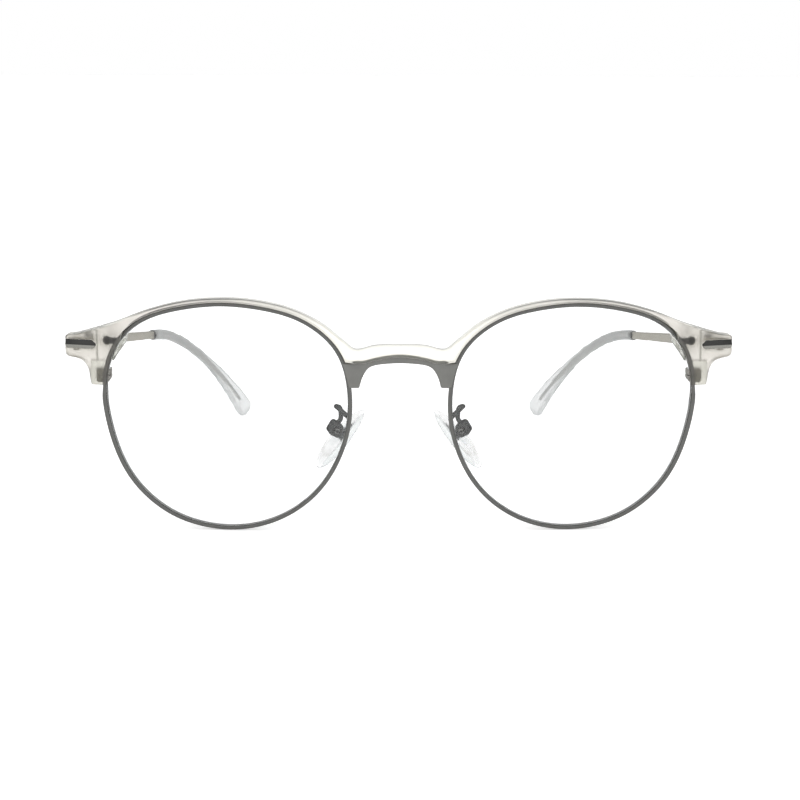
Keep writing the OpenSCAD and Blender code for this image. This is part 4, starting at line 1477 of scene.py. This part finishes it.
@dataclass
class Hinge(Assembly):
    """Barrel hinge: a leaf let into the end piece, a leaf on the temple, and their screw."""

    plate_run = 4.3

    @classmethod
    def pocket(cls, grow: float) -> BMesh:
        """The recess for the front leaf in the back of the end piece."""
        x, z = PLAN.end_x - PLAN.pin_in, PLAN.hinge_z + Trim.above
        half = Trim.height / 2 + grow
        return block((x - PLAN.barrel_radius - grow, PLAN.end_back - PLAN.leaf_thickness - 0.02,
                      z - half), (x + cls.plate_run + grow, PLAN.cut_back, z + half))

    @staticmethod
    def hide_plate(bm: BMesh) -> None:
        """Narrows the plate of a front leaf, so that the trim in front of it hides it."""
        back = (PLAN.end_back + 0.02 - MID_Y) * MM
        middle, half = (PLAN.hinge_z + Trim.above) * MM, (Trim.height / 2 - 0.03) * MM
        for vert in bm.verts:
            if vert.co.y < back:
                off = vert.co.z - PLAN.hinge_z * MM
                vert.co.z = middle + max(-half, min(half, off))

    def build(self, side: Side) -> None:
        """Dresses the leaves and the hinge screw."""
        for body in (Body.FRONT, Body.TEMPLE):
            node = f"hinge_{body.value}_leaf"
            bm = softened(f"{side.label}_{node}", 0.12)
            if body is Body.FRONT:
                self.hide_plate(bm)
            add_piece(side, f"{node}_stamped", bm, [self.finishes.nickel], node,
                      body=body, drawn=False)
        add_piece(side, "hinge_screw_turned", softened(f"{side.label}_hinge_screw", 0.07),
                  [self.finishes.screw], "hinge_screw", drawn=False)


@dataclass
class Temple(Assembly):
    """A temple: slim metal bar with its core wire, dark collar and clear plastic end."""

    hinge_half: float = 1.45
    bar_half: float = 1.15
    end_half: float = 0.9
    bar_corner: float = 0.32
    bar_rounding: float = 0.12
    collar_at: float = 75.0
    collar_length: float = 1.2
    collar_radius: float = 1.1
    core_radius: float = 0.46
    core_short: float = 6.0
    tip_half: float = 1.22
    tip_side: float = 1.1
    foot_half: float = 2.6
    swell_at: float = 42.0
    swell_run: float = 28.0

    def ring(self, s: float, half: float, side: float, corner: float, count: int = 5) -> Ring:
        """Rounded box section of the temple.

        Args:
            s: Distance from the hinge.
            half: Half its height.
            side: Half its thickness.
            corner: Radius of its corners.
            count: Points on each corner.

        Returns:
            The ring of points.
        """
        centre = PATH.point(s)
        across, up = PATH.across(s)
        made = []
        for x_sign, z_sign, turn in ((1, 1, 0), (-1, 1, 90), (-1, -1, 180), (1, -1, 270)):
            for k in range(count):
                a = turn + 90 * k / (count - 1)
                x = x_sign * (side - corner) + corner * cosd(a)
                z = z_sign * (half - corner) + corner * sind(a)
                made.append(centre + across * x + up * z)
        return made

    def bar_half_at(self, s: float) -> float:
        """Half height of the bar at a distance from the hinge."""
        if s < PATH.taper_run:
            return blend(self.hinge_half, self.bar_half, ease(s / PATH.taper_run))
        share = (s - PATH.taper_run) / (self.collar_at - PATH.taper_run)
        return blend(self.bar_half, self.end_half, share)

    def tip_half_at(self, s: float) -> float:
        """Half height of the plastic end."""
        share = (s - self.collar_at - self.collar_length - self.swell_at) / self.swell_run
        return blend(self.tip_half, self.foot_half, ease(share))

    def bar(self) -> BMesh:
        """The bar, rounded along its edges."""
        half_t, r = PLAN.bar_thickness / 2, self.bar_rounding
        stations = [self.collar_at * (k / 48) ** 1.2 for k in range(49)]
        rings = [self.ring(0.0, self.hinge_half - r, half_t - r, 0.25)]
        return swept(rings + [self.ring(max(s, r), self.bar_half_at(s), half_t,
                                        self.bar_corner) for s in stations])

    def turned(self, stations: Sequence[tuple[float, float]], count: int) -> BMesh:
        """Round piece along the temple.

        Args:
            stations: Distances from the hinge, each with the radius there.
            count: Points on each quarter of the circle.

        Returns:
            The piece.
        """
        bm = swept([self.ring(s, r, r, r * 0.999, count) for s, r in stations])
        bmesh.ops.remove_doubles(bm, verts=bm.verts[:], dist=1e-4)
        return bm

    def core(self) -> BMesh:
        """Core wire with a rounded end, inside the plastic."""
        last, r = PATH.length - self.core_short, self.core_radius
        stations = [(blend(self.collar_at - 2, last, k / 60), r) for k in range(61)]
        ends = ((0.25, 0.9), (0.45, 0.66), (0.55, 0.35))
        return self.turned(stations + [(last + out, r * share) for out, share in ends], 4)

    def collar(self) -> BMesh:
        """Dark collar with rounded edges."""
        profile = ((0.0, 0.88), (0.04, 1.0), (0.14, 1.1), (0.6, 1.12), (1.06, 1.1),
                   (1.16, 1.0), (self.collar_length, 0.88))
        return self.turned([(self.collar_at + s, self.collar_radius * r / 1.12)
                            for s, r in profile], 7)

    def tip(self) -> BMesh:
        """Clear plastic end: slim behind the collar, then a broad rounded foot."""
        start = self.collar_at + self.collar_length
        run = PATH.length - start
        rings = [self.ring(start, self.tip_half - 0.2, self.tip_side - 0.2, self.tip_side - 0.21),
                 self.ring(start + 0.06, self.tip_half - 0.07, self.tip_side - 0.07,
                           self.tip_side - 0.08)]
        for k in range(70):
            s = start + 0.2 + (run - 0.2) * (1 - (1 - k / 69) ** 1.5)
            past = max(0.0, (s - PATH.length + self.foot_half) / self.foot_half)
            shrink = math.sqrt(max(0.012, 1 - past ** 2))
            half, side = self.tip_half_at(s) * shrink, self.tip_side * shrink
            rings.append(self.ring(s, half, side, min(half, side) * 0.98))
        return swept(rings)

    def build(self, side: Side) -> None:
        """Builds and dresses the pieces of one temple."""
        f = self.finishes
        for name, bm, finish, node, slot in (
                ("temple_bar_drawn", self.bar(), f.drawn_steel, "temple_bar", "temple_steel"),
                ("temple_core_wire", self.core(), f.core, None, "temple_steel"),
                ("temple_collar_ring", self.collar(), f.collar, "temple_collar", "collar_black"),
                ("temple_tip_moulding", self.tip(), f.tip, "temple_tip", "clear_tip")):
            add_piece(side, name, bm, [finish], node, 50.0, Body.TEMPLE)


@dataclass
class NosePad(Assembly):
    """A nose pad: bent wire arm, box and screw, stiff insert, and the silicone pad."""

    hang: float = 1.6
    past: float = 0.38
    behind: float = 9.6
    below: float = -5.64
    lean: float = 50.0
    splay: float = 25.0
    length: float = 15.4
    width: float = 7.2
    thickness: float = 2.2
    # How full the outline and the faces of the pillow are, and how far each face falls off
    outline_power: float = 0.55
    face_power: float = 1.15
    face_dip: float = 0.55
    back_dip: float = 0.12
    teardrop: float = 0.12
    box: tuple[float, float, float] = (2.9, 2.4, 2.5)
    box_corner: float = 0.7
    box_front: float = -1.3
    box_shift: tuple[float, float, float] = (0.4, 0.0, -0.4)
    box_turn: float = 10.0
    box_wall: float = 0.22
    tab_half: float = 0.73
    bore_radius: float = 0.48
    driver_slot: float = 0.24
    driver_hole: float = 0.3
    rock_up: float = 3.2
    root_angle: float = 183.0
    arm_radius: float = 0.5
    # Distances from the screw within which a point is on the bore or the eye of the stem
    eye_bore: float = 0.62
    eye_reach: float = 1.4
    bore_grow: float = 0.25
    eye_shrink: float = 0.12

    @property
    def middle(self) -> Vector:
        """Place of the pad under its screw."""
        return Vector((LENS.nose_half + self.past, self.behind, LENS.z + self.below))

    def to_place(self) -> Matrix:
        """Turn and place of the pad's own frame."""
        return (Matrix.Translation(self.middle) @ Matrix.Rotation(math.radians(self.lean), 4, "Y")
                @ Matrix.Rotation(math.radians(self.splay), 4, "X"))

    def in_box(self) -> Matrix:
        """Turn and place of the box, which sits a little off the pad's own axis."""
        up = Vector((0, 0, self.rock_up))
        return (self.to_place() @ Matrix.Translation(up + Vector(self.box_shift))
                @ Matrix.Rotation(math.radians(self.box_turn), 4, "Y") @ Matrix.Translation(-up))

    def stem(self, side: Side) -> BMesh:
        """Stiff insert of the pad, its eye moved to the screw in the box."""
        to_mm = (Matrix.Translation((0, MID_Y, 0))
                 @ Matrix.Diagonal((side.value / MM, 1 / MM, 1 / MM, 1)))
        local = self.to_place().inverted() @ to_mm
        bm = moved(softened(f"{side.label}_pad_stem", 0.08), local)
        for vert in bm.verts:
            away = Vector((vert.co.x, 0, vert.co.z - self.rock_up))
            if away.length < self.eye_bore:
                vert.co += away * self.bore_grow
            elif away.length < self.eye_reach:
                vert.co -= away * self.eye_shrink
            vert.co += Vector(self.box_shift) * ease((vert.co.z - 1.3) / 1.0)
        return moved(bm, local.inverted())

    def arm(self) -> BMesh:
        """Wire that springs from the rim, arches back over and drops into the box."""
        start = LENS.behind(self.root_angle)
        middle = self.middle
        box_top = self.in_box() @ Vector((-self.box[0] / 2, 0, self.rock_up))
        line = curve([start, start + Vector((0.3, 1.2, 0.3)), middle + Vector((1.1, -5.6, 6)),
                      middle + Vector((1.9, -3.6, 6.3)), middle + Vector((1.1, -2, 5.6)),
                      box_top + Vector((-0.5, 0.1, 0.9)), box_top], 9)
        start_run = (line[1] - line[0]).normalized()
        line.insert(0, line[0] - start_run * 0.25)
        rings = []
        for i, here in enumerate(line):
            run = (line[min(i + 1, len(line) - 1)] - line[max(i - 1, 0)]).normalized()
            side = run.cross(Vector((0.5, 0.2, -0.9))).normalized()
            other = side.cross(run)
            rings.append([here + self.arm_radius * (cosd(a) * side + sind(a) * other)
                          for a in range(0, 360, 24)])
        return swept(rings)

    def pad(self) -> BMesh:
        """Silicone pad: an oval pillow, crowned towards the nose and flatter behind."""
        rings = []
        for k in range(1, 24):
            angle = -90 + 180 * k / 24
            spread = cosd(angle) ** self.outline_power
            rise = (math.copysign(abs(sind(angle)) ** self.face_power, angle)
                    * self.thickness / 2)
            fall = self.face_dip if angle < 0 else -self.back_dip
            ring = []
            for turn in range(0, 360, 8):
                x = self.length / 2 * cosd(turn) * spread
                y = self.width / 2 * sind(turn) * (1 + self.teardrop * cosd(turn)) * spread
                crown = ((x / (self.length / 2)) ** 2 + (y / (self.width / 2)) ** 2) / 2
                ring.append(Vector((x, y, rise + fall * crown)))
            rings.append(ring)
        return moved(swept(rings), self.to_place() @ Matrix.Translation((self.hang, 0, 0)))

    def holder(self) -> BMesh:
        """Box that the pad rocks in: rounded block with a slot for the tab."""
        half_x, front, back = self.box[0] / 2, self.box_front, self.box_front + self.box[1]
        high = self.rock_up + self.box[2] / 2 + 0.02
        low = high - self.box[2]
        r = self.box_corner
        bm = upright(rounded_outline((-half_x, low), (half_x, high), (r, 0.3, r, r)), front, back)
        round_edges(bm, 0.2, 3, 60.0)
        room, tab = half_x - self.box_wall, self.tab_half
        bm = carve(bm, [block((-room, -tab, low - 1), (room, tab, high - self.box_wall - 0.02)),
                        rod((0, front - 1, self.rock_up), (0, back + 1, self.rock_up),
                            self.bore_radius)])
        return moved(bm, self.in_box())

    def screw(self) -> BMesh:
        """Pad screw: a domed head with a driver slot, its shank and its blunt end."""
        seat, end = self.box_front, self.box_front + self.box[1]
        profile = [(0.0, seat - 0.5), (0.35, seat - 0.49), (0.62, seat - 0.43),
                   (0.82, seat - 0.32), (0.9, seat - 0.18), (0.9, seat - 0.02),
                   (0.45, seat), (0.45, end - 0.1), (0.36, end), (0.0, end)]
        bm = bmesh.new()
        line = [bm.verts.new((r, y, 0)) for r, y in profile]
        edges = [bm.edges.new(pair) for pair in zip(line, line[1:])]
        bmesh.ops.spin(bm, geom=line + edges, cent=(0, 0, 0), axis=(0, 1, 0),
                       angle=2 * math.pi, steps=40, use_merge=True)
        bmesh.ops.remove_doubles(bm, verts=bm.verts[:], dist=1e-4)
        bmesh.ops.recalc_face_normals(bm, faces=bm.faces[:])
        half = self.driver_slot / 2
        bm = carve(bm, [block((-half, seat - 0.7, -1), (half, seat - 0.26, 1)),
                        rod((0, seat - 0.8, 0), (0, seat - 0.15, 0), self.driver_hole, 20)])
        # Painted shade: the sunk slot and hole, and the rim of the domed head, get the near-black
        # finish
        for face in bm.faces:
            spot = face.calc_center_median()
            off = math.hypot(spot.x, spot.z)
            sunk = seat - 0.4 < spot.y < seat - 0.1 and off < 0.78
            face.material_index = int(sunk or (off > 0.68 and spot.y < seat))
        return moved(bm, self.in_box() @ Matrix.Translation((0, 0, self.rock_up)))

    def build(self, side: Side) -> None:
        """Builds and dresses the pieces of one pad."""
        f = self.finishes
        add_piece(side, "pad_arm_wire", self.arm(), [f.dark_steel], "pad_arm", 50.0)
        add_piece(side, "pad_silicone", self.pad(), [f.silicone], "nose_pad", 60.0,
                  Body.PAD)
        add_piece(side, "pad_box_formed", self.holder(), [f.dark_steel], "pad_box")
        add_piece(side, "pad_screw_turned", self.screw(), [f.gunmetal, f.lug], "pad_screw")
        add_piece(side, "pad_stem_insert", self.stem(side), [f.insert], "pad_stem",
                  body=Body.PAD, drawn=False)


@dataclass(frozen=True)
class Studio:
    """White floor and surroundings, soft lamps, and the photograph's camera."""

    distance_mm: float = 400.0
    elevation: float = 9.57
    turn: float = 1.13
    roll: float = 0.2
    aim_mm: tuple[float, float, float] = (-0.03, 0.0, 27.6)
    picture_px: float = 800.0
    px_per_mm: float = 4.898
    sensor_mm: float = 36.0
    floor_m: float = 60.0
    lit_floor: float = 0.5
    surroundings: float = 0.62
    # Name, place in metres, size in metres and power in watts of each lamp
    lamps = (("top_softbox", (0.0, 0.1, 1.2), 1.2, 3.0),
             ("front_softbox_left", (-0.9, -0.9, 0.7), 0.8, 2.0),
             ("front_softbox_right", (0.9, -0.9, 0.6), 0.8, 1.6))

    def camera(self) -> None:
        """Puts the camera at the photograph's place and angle."""
        data = bpy.data.cameras.new("photo_camera")
        data.sensor_width = self.sensor_mm
        data.sensor_fit = "HORIZONTAL"
        data.lens = self.distance_mm * self.px_per_mm * self.sensor_mm / self.picture_px
        data.clip_start = 0.01
        camera = placed("photo_camera", data)
        aim = Vector(self.aim_mm) - Vector((0, MID_Y, 0))
        turn = (Matrix.Rotation(math.radians(-self.turn), 4, "Z")
                @ Matrix.Rotation(math.radians(90 - self.elevation), 4, "X")
                @ Matrix.Rotation(math.radians(self.roll), 4, "Z"))
        forwards = turn.to_3x3() @ Vector((0, 0, -1))
        camera.matrix_world = Matrix.Translation((aim - forwards * self.distance_mm) * MM) @ turn
        bpy.context.scene.camera = camera

    @staticmethod
    def shown_directly(tree: NodeTree) -> NodeSocket:
        """Adds a value that is 1 for rays from the camera, mirrors and glass."""
        ray = add_node(tree, "LightPath").outputs
        value = ray["Is Camera Ray"]
        for other in ("Is Glossy Ray", "Is Transmission Ray"):
            value = add_node(tree, "Math", {0: value, 1: ray[other]},
                             operation="MAXIMUM").outputs["Value"]
        return value

    @classmethod
    def chosen(cls, tree: NodeTree, seen: NodeSocket, light: NodeSocket, end: str) -> None:
        """Ends a tree with one shader for what is seen and another for the light it gives.

        Args:
            tree: The nodes.
            seen: The shader for rays from the camera, mirrors and glass.
            light: The shader for all other rays.
            end: Kind of the last node.
        """
        choice = add_node(tree, "MixShader", {"Fac": cls.shown_directly(tree), 1: light, 2: seen})
        add_node(tree, end, {"Surface": choice.outputs["Shader"]})

    def floor(self) -> None:
        """Lays white seamless paper that keeps a faint shadow."""
        material, tree = blank_material("white_seamless_paper")
        fibre = Grain(size_mm=0.4, height_mm=0.01).pattern(tree)
        paper = add_node(tree, "BsdfDiffuse",
                         {"Color": mix_colours(tree, fibre, "efefef", "f5f5f5"),
                          "Roughness": 0.8})
        glow = add_node(tree, "Emission",
                        {"Color": (1, 1, 1, 1), "Strength": self.lit_floor})
        lit = add_node(tree, "AddShader",
                       {0: paper.outputs["BSDF"], 1: glow.outputs["Emission"]})
        self.chosen(tree, lit.outputs["Shader"], paper.outputs["BSDF"], "OutputMaterial")
        bm = bmesh.new()
        bmesh.ops.create_grid(bm, x_segments=2, y_segments=2, size=self.floor_m / 2)
        mesh = bpy.data.meshes.new("studio_floor")
        bm.to_mesh(mesh)
        bm.free()
        mesh.materials.append(material)
        placed("studio_floor", mesh)

    def world(self) -> None:
        """White surroundings, and the even light that they give."""
        world = bpy.data.worlds.new("white_studio")
        world.use_nodes = True
        tree = world.node_tree
        tree.nodes.clear()
        seen, light = (add_node(tree, "Background", {"Color": (1, 1, 1, 1), "Strength": power})
                       .outputs["Background"] for power in (1.0, self.surroundings))
        self.chosen(tree, seen, light, "OutputWorld")
        bpy.context.scene.world = world

    @staticmethod
    def lamp(name: str, place: Sequence[float], size: float, power: float) -> None:
        """Adds a square soft lamp that faces the glasses.

        Args:
            name: Its name.
            place: Where it hangs, in metres.
            size: Length of its sides in metres.
            power: Its power in watts.
        """
        data = bpy.data.lights.new(name, "AREA")
        data.shape = "SQUARE"
        data.size = size
        data.energy = power
        lamp = placed(name, data)
        lamp.location = place
        towards = Vector(place) - Vector((0, 0, 0.02))
        lamp.rotation_euler = towards.to_track_quat("Z", "Y").to_euler()

    def build(self) -> None:
        """Sets the studio up."""
        self.camera()
        self.floor()
        self.world()
        for lamp in self.lamps:
            self.lamp(*lamp)
        bpy.context.scene.view_settings.view_transform = "Standard"


def main() -> None:
    """Builds the studio and every sub-assembly of the glasses."""
    logging.basicConfig(level=logging.INFO, format="%(name)s %(message)s")
    Studio().build()
    finishes = Finishes()
    BrowBar(finishes).build()
    Bridge(finishes).build()
    for side in Side:
        for part in (Rim, Lens, RimLock, BrowLug, Trim, Hinge, Temple, NosePad):
            part(finishes).build(side)


if __name__ == "__main__":
    main()
